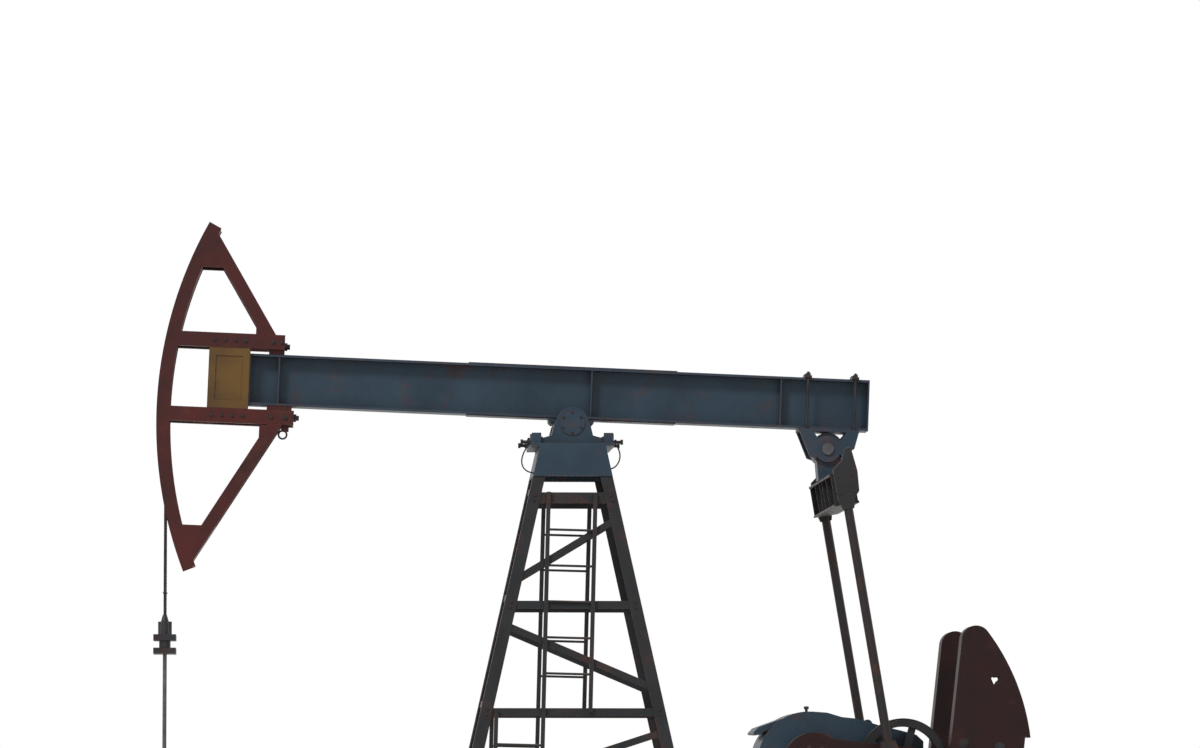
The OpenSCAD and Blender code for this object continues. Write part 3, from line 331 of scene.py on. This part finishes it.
def grownMesh(name, mesh, tree, given):
    carrier = bpy.data.objects.new(name + "Source", mesh)
    bpy.context.scene.collection.objects.link(carrier)
    modifier = carrier.modifiers.new(tree.name, "NODES")
    modifier.node_group = tree
    for item in tree.interface.items_tree:
        if item.in_out == "INPUT" and item.name in given:
            modifier[item.identifier] = given[item.name]
    bpy.context.view_layer.update()
    settled = carrier.evaluated_get(bpy.context.evaluated_depsgraph_get())
    result = bpy.data.meshes.new_from_object(settled)
    result.name = name
    result.materials.clear()
    bpy.data.objects.remove(carrier)
    return result


# bolts: hexagon heads on washers, instanced on points that know their direction
# the shares are of the head's radius, which is the size that each point carries

boltPlan = {"finish": "bolt_steel", "sides": {"Head": 6, "Washer": 18, "Tip": 10},
            "shares": {"Head": 1.0, "Head Height": 0.62, "Washer": 1.25, "Washer Height": 0.16, "Tip": 0.5,
                       "Tip Height": 1.0}}


def makeBoltTree():
    shares = [(label, floatKind) for label in boltPlan["shares"]]
    inputs = [("Geometry", geometryKind)] + shares + [("Material", materialKind)]
    tree, source, result = groupTree("boltHeads", inputs, [("Geometry", geometryKind)], "GeometryNodeTree")
    join = tree.nodes.new("GeometryNodeJoinGeometry")
    for part, sides in boltPlan["sides"].items():
        height = source[part + " Height"]
        values = {"Vertices": sides, "Radius": source[part], "Depth": height}
        disc = addNode(tree, "GeometryNodeMeshCylinder", values).outputs["Mesh"]
        half = mathNode(tree, "MULTIPLY", height, 0.5)
        lift = addNode(tree, "ShaderNodeCombineXYZ", {2: half}).outputs[0]
        raised = addNode(tree, "GeometryNodeTransform", {"Geometry": disc, "Translation": lift})
        tree.links.new(raised.outputs[0], join.inputs[0])
    aim = namedField(tree, "aim", "FLOAT_VECTOR")
    turn = addNode(tree, "FunctionNodeAlignRotationToVector", {"Vector": aim}, axis="Z")
    values = {"Points": source["Geometry"], "Instance": join.outputs[0], "Rotation": turn.outputs[0],
              "Scale": namedField(tree, "size", "FLOAT")}
    placed = addNode(tree, "GeometryNodeInstanceOnPoints", values)
    closeTree(tree, placed.outputs[0], source["Material"], result)
    return tree


boltTree = makeBoltTree()


def boltsOn(name, body, place, spots):
    mesh = bpy.data.meshes.new(name + "Points")
    mesh.from_pydata([place @ Vector(spot[0]) for spot in spots], [], [])
    mesh.attributes.new("aim", "FLOAT_VECTOR", "POINT")
    mesh.attributes.new("size", "FLOAT", "POINT")
    for index, (point, direction, radius) in enumerate(spots):
        mesh.attributes["aim"].data[index].vector = place.to_3x3() @ Vector(direction)
        mesh.attributes["size"].data[index].value = radius
    given = dict(boltPlan["shares"], Material=materials[boltPlan["finish"]])
    linkPiece(name, grownMesh(name, mesh, boltTree, given), body, boltPlan["finish"])


# a ring of bolts lies on a face that looks to the side, round its centre in x and z


def ring(plan, side):
    x, z = plan.get("centre", (0.0, 0.0))
    spots = []
    for index in range(plan["count"]):
        angle = math.radians(plan["start"]) + 2 * math.pi * index / plan["count"]
        place = (x + plan["radius"] * math.cos(angle), side * plan["y"], z + plan["radius"] * math.sin(angle))
        spots.append((place, (0, side, 0), plan["size"]))
    return spots


def row(first, last, count, direction, size):
    start = Vector(first)
    step = (Vector(last) - start) / (count - 1)
    return [(start + step * index, direction, size) for index in range(count)]


beamBoltPlan = {
    "cheekY": 0.171, "upperZ": 0.583, "lowerZ": -0.049,  # pairs and rows on the head's cheeks
    "upperPair": (-2.53, -2.46), "lowerPair": (-2.52, -2.40), "pairSize": 0.017,
    "braceRow": (-3.02, -2.76), "braceCount": 4, "braceSize": 0.015,
    "seatX": 0.16, "seatY": 0.098, "seatZ": 0.016, "seatSize": 0.022,  # under the beam beside the pivot
}


def beamBolts():
    plan = beamBoltPlan
    spots = []
    for side in (-1, 1):
        y = side * plan["cheekY"]
        for (first, last), z in ((plan["upperPair"], plan["upperZ"]), (plan["lowerPair"], plan["lowerZ"])):
            spots += row((first, y, z), (last, y, z), 2, (0, side, 0), plan["pairSize"])
        first, last = plan["braceRow"]
        for z in (plan["upperZ"], plan["lowerZ"]):
            spots += row((first, y, z), (last, y, z), plan["braceCount"], (0, side, 0), plan["braceSize"])
        for x in (-plan["seatX"], plan["seatX"]):
            spots.append(((x, side * plan["seatY"], plan["seatZ"]), (0, 0, -1), plan["seatSize"]))
    boltsOn("beamBolts", "beam", beamFrame, spots)


saddleBoltPlan = {
    "disc": {"count": 6, "radius": 0.086, "y": 0.357, "size": 0.010, "start": 30.0},
    "foot": {"x": 0.262, "y": (0.185, 0.305), "z": -0.1315, "size": 0.020, "lean": (0.26, 0.965)},
}


def saddleBolts():
    foot = saddleBoltPlan["foot"]
    leanX, leanZ = foot["lean"]
    spots = []
    for side in (-1, 1):
        spots += ring(saddleBoltPlan["disc"], side)
        for end in (-1, 1):
            for y in foot["y"]:
                spots.append(((end * foot["x"], side * y, foot["z"]), (end * leanX, 0, leanZ), foot["size"]))
    boltsOn("saddleBolts", "root", saddleFrame, spots)


# the girts' bolts follow the legs, which spread from the post's head to its feet

postBoltPlan = {
    "headDrop": 0.024, "footZ": 0.320, "topX": 0.276, "footX": 1.299, "inset": 0.052, "topY": 0.445,
    "footY": 0.555, "leanX": 0.22, "leanY": 0.024,
    "levels": 5, "firstZ": 4.467, "pitch": 0.894, "halfPair": 0.022, "girtSize": 0.012,
    "anchorX": (1.174, 1.324), "anchorY": (0.432, 0.528), "railX": (1.55, 1.95, 2.55, 2.88), "railY": 0.445,
    "baseSize": 0.017,
}


def postBolts():
    plan = postBoltPlan
    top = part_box("post_head")[1][2] - plan["headDrop"]
    spots = []
    for level in range(plan["levels"]):
        z = plan["firstZ"] - plan["pitch"] * level
        share = (top - z) / (top - plan["footZ"])
        x = plan["topX"] + (plan["footX"] - plan["topX"]) * share - plan["inset"]
        y = plan["topY"] + (plan["footY"] - plan["topY"]) * share
        for side in (-1, 1):
            for end in (-1, 1):
                for rise in (-plan["halfPair"], plan["halfPair"]):
                    place = (end * (x - rise * plan["leanX"]), side * (y - rise * plan["leanY"]), z + rise)
                    spots.append((place, (0, side, 0), plan["girtSize"]))
    for side in (-1, 1):
        for end in (-1, 1):
            for x in plan["anchorX"]:
                for y in plan["anchorY"]:
                    spots.append(((end * x, side * y, plan["footZ"]), (0, 0, 1), plan["baseSize"]))
        for x in plan["railX"]:
            spots.append(((x, side * plan["railY"], plan["footZ"]), (0, 0, 1), plan["baseSize"]))
    boltsOn("postBolts", "root", groundFrame, spots)


# the caps are those of the gearbox's three shafts, and the flange is where its halves meet

gearboxBoltPlan = {
    "flangeX": (-0.46, -0.35, -0.24, 0.235, 0.60, 0.93), "flangeY": 0.412, "flangeZ": 0.028,
    "flangeSize": 0.014, "endX": (-0.475, 0.985), "endY": 0.34, "rowCount": 5,
    "foot": (-0.44, 0.82), "footY": 0.41, "footZ": -0.47, "footSize": 0.018,
    "caps": [{"count": 8, "radius": 0.150, "y": 0.470, "size": 0.014, "start": 22.5},
             {"count": 6, "radius": 0.085, "y": 0.450, "size": 0.010, "start": 30.0, "centre": (0.770, 0.0)},
             {"count": 6, "radius": 0.100, "y": 0.430, "size": 0.011, "start": 30.0, "centre": (0.415, 0.0)}],
}


def gearboxBolts():
    plan = gearboxBoltPlan
    first, last = plan["foot"]
    z = plan["footZ"]
    spots = []
    for side in (-1, 1):
        for x in plan["flangeX"]:
            for face in (1, -1):
                place = (x, side * plan["flangeY"], face * plan["flangeZ"])
                spots.append((place, (0, 0, face), plan["flangeSize"]))
        for cap in plan["caps"]:
            spots += ring(cap, side)
        y = side * plan["footY"]
        spots += row((first, y, z), (last, y, z), plan["rowCount"], (0, 0, 1), plan["footSize"])
    z = plan["flangeZ"]
    for x in plan["endX"]:
        near, far = (x, -plan["endY"], z), (x, plan["endY"], z)
        spots += row(near, far, plan["rowCount"], (0, 0, 1), plan["flangeSize"])
    boltsOn("gearboxBolts", "root", gearboxFrame, spots)


crankBoltPlan = {
    "hub": {"count": 8, "radius": 0.135, "y": 0.840, "size": 0.014, "start": 22.5},
    "weightX": (1.22, 1.52), "weightY": 0.855, "weightZ": 0.30, "weightSize": 0.034,
}


def crankBolts():
    plan = crankBoltPlan
    spots = []
    for side in (-1, 1):
        spots += ring(plan["hub"], side)
        for z in (-plan["weightZ"], plan["weightZ"]):
            for x in plan["weightX"]:
                spots.append(((x, side * plan["weightY"], z), (0, side, 0), plan["weightSize"]))
    boltsOn("crankBolts", "crank", crankFrame, spots)


pitmanBoltPlan = {
    "pin": {"count": 6, "radius": 0.105, "y": 1.072, "size": 0.013, "start": 0.0, "centre": (0.0, -2.753)},
    "headX": 0.048, "headY": 0.972, "headZ": (-0.300, -0.385, -0.470), "headSize": 0.009,
    "bearingX": 0.105, "bearingY": 0.09, "bearingZ": -0.224, "bearingSize": 0.010,
}


def pitmanBolts():
    plan = pitmanBoltPlan
    spots = []
    for side in (-1, 1):
        spots += ring(plan["pin"], side)
        for x in (-plan["headX"], plan["headX"]):
            for z in plan["headZ"]:
                spots.append(((x, side * plan["headY"], z), (0, side, 0), plan["headSize"]))
        for x in (-plan["bearingX"], plan["bearingX"]):
            spots.append(((x, side * plan["bearingY"], plan["bearingZ"]), (0, 0, 1), plan["bearingSize"]))
    boltsOn("pitmanBolts", "equalizer", pitmanFrame, spots)


carrierBoltPlan = {"rises": (0.035, 0.078), "forward": 0.03, "y": 0.066, "size": 0.011}


def carrierBolts():
    plan = carrierBoltPlan
    low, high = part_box("rod_clamp")
    x = (low[0] + high[0]) / 2 - plan["forward"]
    spots = []
    for rise in plan["rises"]:
        for side in (-1, 1):
            spots.append(((x, side * plan["y"], low[2] + rise), (-1, 0, 0), plan["size"]))
    boltsOn("carrierBolts", "carrier", Matrix.Identity(4), spots)


beamBolts()
saddleBolts()
postBolts()
gearboxBolts()
crankBolts()
pitmanBolts()
carrierBolts()
print("bolts placed")

# wire ropes: strands laid round each rope's line, which knows its length and its outward side
# lay is the length of one turn, gap lies between the two ropes, lineRadius is that of their line round the
# pivot, wrap is in degrees, and coreShare is a share of the strands' distance from the line

ropePlan = {"radius": 0.0118, "strands": 6, "strandShare": 0.36, "coreShare": 0.8, "lay": 0.16, "gap": 0.240,
            "lineRadius": 3.400, "wrap": 22.75, "sides": 6, "hangingSteps": 120, "wrapSteps": 110,
            "merge": 0.00001}


def makeRopeTree():
    inputs = [("Geometry", geometryKind), ("Rope Radius", floatKind), ("Strand Share", floatKind),
              ("Core Share", floatKind), ("Lay", floatKind), ("Strands", countKind), ("Sides", countKind),
              ("Material", materialKind)]
    tree, source, result = groupTree("laidRope", inputs, [("Geometry", geometryKind)], "GeometryNodeTree")
    line = addNode(tree, "GeometryNodeMeshToCurve", {"Mesh": source["Geometry"]}).outputs[0]
    copies = addNode(tree, "GeometryNodeDuplicateElements", {"Geometry": line, "Amount": source["Strands"]},
                     domain="SPLINE")
    outward = namedField(tree, "outward", "FLOAT_VECTOR")
    turns = mathNode(tree, "DIVIDE", namedField(tree, "along", "FLOAT"), source["Lay"])
    share = mathNode(tree, "DIVIDE", copies.outputs["Duplicate Index"], source["Strands"])
    angle = mathNode(tree, "MULTIPLY", mathNode(tree, "ADD", turns, share), 2 * math.pi)
    strandRadius = mathNode(tree, "MULTIPLY", source["Rope Radius"], source["Strand Share"])
    offset = mathNode(tree, "SUBTRACT", source["Rope Radius"], strandRadius)
    out = mathNode(tree, "MULTIPLY", mathNode(tree, "COSINE", angle), offset)
    beside = mathNode(tree, "MULTIPLY", mathNode(tree, "SINE", angle), offset)
    outShift = addNode(tree, "ShaderNodeVectorMath", {0: outward, "Scale": out}, operation="SCALE").outputs[0]
    sideShift = addNode(tree, "ShaderNodeCombineXYZ", {1: beside}).outputs[0]
    shift = addNode(tree, "ShaderNodeVectorMath", {0: outShift, 1: sideShift}, operation="ADD").outputs[0]
    laid = addNode(tree, "GeometryNodeSetPosition", {"Geometry": copies.outputs["Geometry"], "Offset": shift})
    join = tree.nodes.new("GeometryNodeJoinGeometry")
    coreRadius = mathNode(tree, "MULTIPLY", offset, source["Core Share"])
    for curve, radius in ((laid.outputs[0], strandRadius), (line, coreRadius)):
        values = {"Resolution": source["Sides"], "Radius": radius}
        profile = addNode(tree, "GeometryNodeCurvePrimitiveCircle", values).outputs["Curve"]
        values = {"Curve": curve, "Profile Curve": profile, "Fill Caps": True}
        tree.links.new(addNode(tree, "GeometryNodeCurveToMesh", values).outputs[0], join.inputs[0])
    closeTree(tree, join.outputs[0], source["Material"], result)
    return tree


ropeTree = makeRopeTree()


def ropeMesh(name, routes):
    points, edges, outwards, alongs = [], [], [], []
    for route in routes:
        first = len(points)
        for point, outward, along in route:
            points.append(point)
            outwards.append(outward)
            alongs.append(along)
        edges += [(index, index + 1) for index in range(first, len(points) - 1)]
    mesh = bpy.data.meshes.new(name + "Line")
    mesh.from_pydata(points, edges, [])
    mesh.attributes.new("outward", "FLOAT_VECTOR", "POINT")
    mesh.attributes.new("along", "FLOAT", "POINT")
    for index, (outward, along) in enumerate(zip(outwards, alongs)):
        mesh.attributes["outward"].data[index].vector = outward
        mesh.attributes["along"].data[index].value = along
    given = {"Rope Radius": ropePlan["radius"], "Strand Share": ropePlan["strandShare"],
             "Core Share": ropePlan["coreShare"], "Lay": ropePlan["lay"], "Strands": ropePlan["strands"],
             "Sides": ropePlan["sides"], "Material": materials["rope"]}
    result = grownMesh(name, mesh, ropeTree, given)
    shape = bmesh.new()
    shape.from_mesh(result)
    bmesh.ops.remove_doubles(shape, verts=shape.verts[:], dist=ropePlan["merge"])
    bmesh.ops.recalc_face_normals(shape, faces=shape.faces[:])
    shape.to_mesh(result)
    shape.free()
    return result


def hangingRopes():
    low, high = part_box("hanging_ropes")
    x = (low[0] + high[0]) / 2
    routes = []
    for side in (-1, 1):
        route = []
        for index in range(ropePlan["hangingSteps"] + 1):
            z = high[2] + (low[2] - high[2]) * index / ropePlan["hangingSteps"]
            route.append((Vector((x, side * ropePlan["gap"] / 2, z)), Vector((-1, 0, 0)), high[2] - z))
        routes.append(route)
    piece = linkPiece("hangingRopes", ropeMesh("hangingRopes", routes), None, "rope")
    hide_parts("hanging_ropes")
    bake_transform(piece)


# the wrapped part stays on the track: it leaves the head where the ropes hang


def wrappedRopes():
    reach = ropePlan["lineRadius"]
    routes = []
    for side in (-1, 1):
        route = []
        for index in range(ropePlan["wrapSteps"] + 1):
            angle = math.radians(ropePlan["wrap"]) * index / ropePlan["wrapSteps"]
            outward = Vector((-math.cos(angle), 0, math.sin(angle)))
            point = pivot + outward * reach + Vector((0, side * ropePlan["gap"] / 2, 0))
            route.append((point, outward, -reach * angle))
        routes.append(route)
    piece = linkPiece("wrappedRopes", ropeMesh("wrappedRopes", routes), None, "rope")
    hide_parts("rope_wrap")
    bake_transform(piece)


def pieceFrom(name, shape, place, body, finish):
    shape.transform(place)
    mesh = bpy.data.meshes.new(name)
    shape.to_mesh(mesh)
    shape.free()
    linkPiece(name, mesh, body, finish)


def rounded(shape, bevel):
    bmesh.ops.bevel(shape, geom=shape.edges[:], offset=bevel, segments=2, affect="EDGES", profile=0.5)


def bevelledBlock(name, low, high, bevel, place, body, finish):
    shape = bmesh.new()
    bmesh.ops.create_cube(shape, size=1.0)
    middle = (Vector(low) + Vector(high)) / 2
    spread = Vector(high) - Vector(low)
    for vertex in shape.verts:
        vertex.co = Vector((vertex.co.x * spread.x, vertex.co.y * spread.y, vertex.co.z * spread.z)) + middle
    rounded(shape, bevel)
    pieceFrom(name, shape, place, body, finish)


# a bar that clamps the ropes' upper ends to the head, in the frame of the wrap's end

anchorPlan = {"front": -3.418, "back": -3.3885, "halfWidth": 0.146, "height": 0.060, "bevel": 0.003,
              "boltInset": 0.03, "boltInner": 0.06, "boltSize": 0.011}


def ropeAnchor():
    plan = anchorPlan
    holder = turned(pivot, ropePlan["wrap"])
    low = (plan["front"], -plan["halfWidth"], 0.0)
    high = (plan["back"], plan["halfWidth"], plan["height"])
    bevelledBlock("ropeAnchor", low, high, plan["bevel"], holder, "beam", "head_red")
    outer = plan["halfWidth"] - plan["boltInset"]
    spots = []
    for y in (-outer, -plan["boltInner"], plan["boltInner"], outer):
        spots.append(((plan["front"], y, plan["height"] / 2), (-1, 0, 0), plan["boltSize"]))
    boltsOn("anchorBolts", "beam", holder, spots)


hangingRopes()
wrappedRopes()
ropeAnchor()
print("ropes laid")

# lugs that hold the pitmans' upper ends on the traverse

lugPlan = {
    "outline": [(-0.075, -0.215), (0.010, -0.150), (0.050, -0.060), (0.100, -0.050), (0.112, -0.150),
                (0.124, -0.260), (0.112, -0.425), (0.066, -0.475), (0.048, -0.560), (-0.048, -0.560),
                (-0.075, -0.470)],
    "near": 0.974, "far": 1.042, "bevel": 0.006,
    "boltX": (-0.050, 0.066), "boltZ": (-0.280, -0.420), "boltSize": 0.012,
}


def slab(name, outline, y0, y1, bevel, place, body, finish):
    shape = bmesh.new()
    face = shape.faces.new([shape.verts.new((x, y0, z)) for x, z in outline])
    grown = bmesh.ops.extrude_face_region(shape, geom=[face])
    for item in grown["geom"]:
        if isinstance(item, bmesh.types.BMVert):
            item.co.y = y1
    bmesh.ops.recalc_face_normals(shape, faces=shape.faces[:])
    rounded(shape, bevel)
    pieceFrom(name, shape, place, body, finish)


def pitmanLugs():
    plan = lugPlan
    for side, word in bothSides:
        name = "pitmanLug" + word
        slab(name, plan["outline"], side * plan["near"], side * plan["far"], plan["bevel"], pitmanFrame,
             "equalizer", "dark_steel")
        spots = []
        for x in plan["boltX"]:
            for z in plan["boltZ"]:
                spots.append(((x, side * plan["far"], z), (0, side, 0), plan["boltSize"]))
        boltsOn(name + "Bolts", "equalizer", pitmanFrame, spots)


# a link is a closed ring of round wire that stands in the plane of x and z

linkPlan = {"around": 40, "across": 10}


def roundLink(name, middle, radius, wire, place, body, finish):
    shape = bmesh.new()
    around, across = linkPlan["around"], linkPlan["across"]
    rings = []
    for index in range(around):
        turn = 2 * math.pi * index / around
        ringVerts = []
        for part in range(across):
            lean = 2 * math.pi * part / across
            reach = radius + wire * math.cos(lean)
            spot = Vector((reach * math.cos(turn), wire * math.sin(lean), reach * math.sin(turn)))
            ringVerts.append(shape.verts.new(spot + Vector(middle)))
        rings.append(ringVerts)
    for index in range(around):
        after = (index + 1) % around
        for part in range(across):
            beside = (part + 1) % across
            corners = (rings[index][part], rings[after][part], rings[after][beside], rings[index][beside])
            shape.faces.new(corners).smooth = True
    bmesh.ops.recalc_face_normals(shape, faces=shape.faces[:])
    pieceFrom(name, shape, place, body, finish)


# the shackle under the head, on a lug of its own

shacklePlan = {"centre": (-2.417, -0.120, -0.190), "ring": 0.034, "wire": 0.008,
               "lugLow": (-2.432, -0.132, -0.166), "lugHigh": (-2.368, -0.108, -0.104), "bevel": 0.004}


def headShackle():
    plan = shacklePlan
    roundLink("headShackle", plan["centre"], plan["ring"], plan["wire"], beamFrame, "beam", "bolt_steel")
    bevelledBlock("shackleLug", plan["lugLow"], plan["lugHigh"], plan["bevel"], beamFrame, "beam", "head_red")


# small blocks that stop the saddle at its sides

stopPlan = {"inner": 0.262, "outer": 0.342, "near": 0.350, "far": 0.392, "low": -0.176, "high": -0.086,
            "bevel": 0.004}


def sideStops():
    plan = stopPlan
    for side, word in bothSides:
        for end, label in ((-1, "Front"), (1, "Rear")):
            x = sorted((end * plan["inner"], end * plan["outer"]))
            y = sorted((side * plan["near"], side * plan["far"]))
            bevelledBlock("sideStop" + label + word, (x[0], y[0], plan["low"]), (x[1], y[1], plan["high"]),
                          plan["bevel"], saddleFrame, "root", "blue_paint")


# small plates in the corners between the head's struts and braces

cornerPlan = {"upper": [(-2.676, 0.634), (-2.624, 0.634), (-2.676, 0.722)],
              "lower": [(-2.616, -0.118), (-2.543, -0.118), (-2.616, -0.230)],
              "near": 0.158, "far": 0.1695, "bevel": 0.002}


def headCorners():
    plan = cornerPlan
    for side, word in bothSides:
        for level in ("upper", "lower"):
            slab(level + "Corner" + word, plan[level], side * plan["near"], side * plan["far"], plan["bevel"],
                 beamFrame, "beam", "head_red")


pitmanLugs()
headShackle()
sideStops()
headCorners()
print("lugs set")

# grease pipes from the bearings down to the post's box; y is the pipes' plane, and the middle number of a
# point is how far it sits inward of that plane

pipePlan = {
    "radius": 0.006, "y": -0.40,
    "Front": [(-0.30, 0.06, -0.150), (-0.345, 0, -0.170), (-0.40, 0, -0.23), (-0.43, 0, -0.31),
              (-0.42, 0, -0.38), (-0.37, 0, -0.42), (-0.325, 0.02, -0.425)],
    "Rear": [(0.30, 0.06, -0.150), (0.345, 0, -0.165), (0.385, 0, -0.22), (0.40, 0, -0.28),
             (0.385, 0, -0.34), (0.345, 0, -0.385), (0.31, 0.02, -0.39)],
}


def bentPipe(name, points, radius, body, finish, place):
    curve = bpy.data.curves.new(name, "CURVE")
    curve.dimensions = "3D"
    curve.bevel_depth = radius
    curve.bevel_resolution = 3
    curve.use_fill_caps = True
    spline = curve.splines.new("NURBS")
    spline.points.add(len(points) - 1)
    for index, point in enumerate(points):
        spline.points[index].co = (place @ Vector(point)).to_4d()
    spline.use_endpoint_u = True
    spline.order_u = 3
    drawn = bpy.data.objects.new(name, curve)
    bpy.context.scene.collection.objects.link(drawn)
    bpy.context.view_layer.update()
    mesh = bpy.data.meshes.new_from_object(drawn.evaluated_get(bpy.context.evaluated_depsgraph_get()))
    bpy.data.objects.remove(drawn)
    linkPiece(name, mesh, body, finish)


def greasePipes():
    for word in ("Front", "Rear"):
        points = [(x, pipePlan["y"] + inward, z) for x, inward, z in pipePlan[word]]
        bentPipe("greasePipe" + word, points, pipePlan["radius"], "root", "bolt_steel", saddleFrame)


greasePipes()
print("pipes bent")

# a thin tie with a ring round each rope, above the sockets

tiePlan = {"height": 3.68, "ring": 0.0165, "wire": 0.0035, "sag": 0.012}


def ropeTie():
    plan = tiePlan
    low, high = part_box("hanging_ropes")
    x = (low[0] + high[0]) / 2
    half = ropePlan["gap"] / 2
    for side, word in bothSides:
        middle = Matrix.Translation((x, side * half, plan["height"]))
        around = middle @ Matrix.Rotation(math.pi / 2, 4, "X")
        roundLink("tieRing" + word, (0, 0, 0), plan["ring"], plan["wire"], around, "carrier", "bolt_steel")
    end = half - plan["ring"] - plan["wire"]
    hung = plan["height"] - plan["sag"]
    points = [(x, -end, plan["height"]), (x, -end / 2, hung), (x, end / 2, hung), (x, end, plan["height"])]
    bentPipe("ropeTie", points, plan["wire"], "carrier", "bolt_steel", Matrix.Identity(4))


ropeTie()
print("ropes tied")

# floor, light and background; the lamps' turns and the sun's angle are in degrees

studio = {
    "floor": (226, 224, 220), "floorRoughness": 0.9, "floorReach": 80.0, "sky": 0.62, "sunAngle": 14.0,
    "lamps": {"sunKey": {"turn": (50, 0, -35), "power": 2.1},
              "sunFill": {"turn": (60, 0, 130), "power": 0.63}},
}


def makeStage():
    mesh = bpy.data.meshes.new("floor")
    reach = studio["floorReach"]
    corners = [(-reach, -reach, 0), (reach, -reach, 0), (reach, reach, 0), (-reach, reach, 0)]
    mesh.from_pydata(corners, [], [(0, 1, 2, 3)])
    floor = bpy.data.objects.new("floor", mesh)
    bpy.context.scene.collection.objects.link(floor)
    material = bpy.data.materials.new("floor")
    material.use_nodes = True
    shader = material.node_tree.nodes["Principled BSDF"]
    shader.inputs["Base Color"].default_value = colourOf(*studio["floor"])
    shader.inputs["Roughness"].default_value = studio["floorRoughness"]
    mesh.materials.append(material)


# the camera and reflections see white, and the object is lit by the weaker sky


def makeLight():
    world = bpy.data.worlds.new("world")
    bpy.context.scene.world = world
    world.use_nodes = True
    tree = world.node_tree
    background = tree.nodes["Background"]
    background.inputs["Color"].default_value = (1.0, 1.0, 1.0, 1.0)
    path = tree.nodes.new("ShaderNodeLightPath")
    shown = mathNode(tree, "MAXIMUM", path.outputs["Is Camera Ray"], path.outputs["Is Glossy Ray"])
    shown = mathNode(tree, "MAXIMUM", shown, path.outputs["Is Transmission Ray"])
    strength = mapped(tree, shown, 0.0, 1.0, studio["sky"], 1.0)
    tree.links.new(strength, background.inputs["Strength"])
    for name, plan in studio["lamps"].items():
        lamp = bpy.data.lights.new(name, "SUN")
        lamp.energy = plan["power"]
        lamp.angle = math.radians(studio["sunAngle"])
        holder = bpy.data.objects.new(name, lamp)
        holder.rotation_euler = tuple(math.radians(value) for value in plan["turn"])
        bpy.context.scene.collection.objects.link(holder)


makeStage()
makeLight()
bpy.context.scene.view_settings.view_transform = "Standard"
print("stage lit")
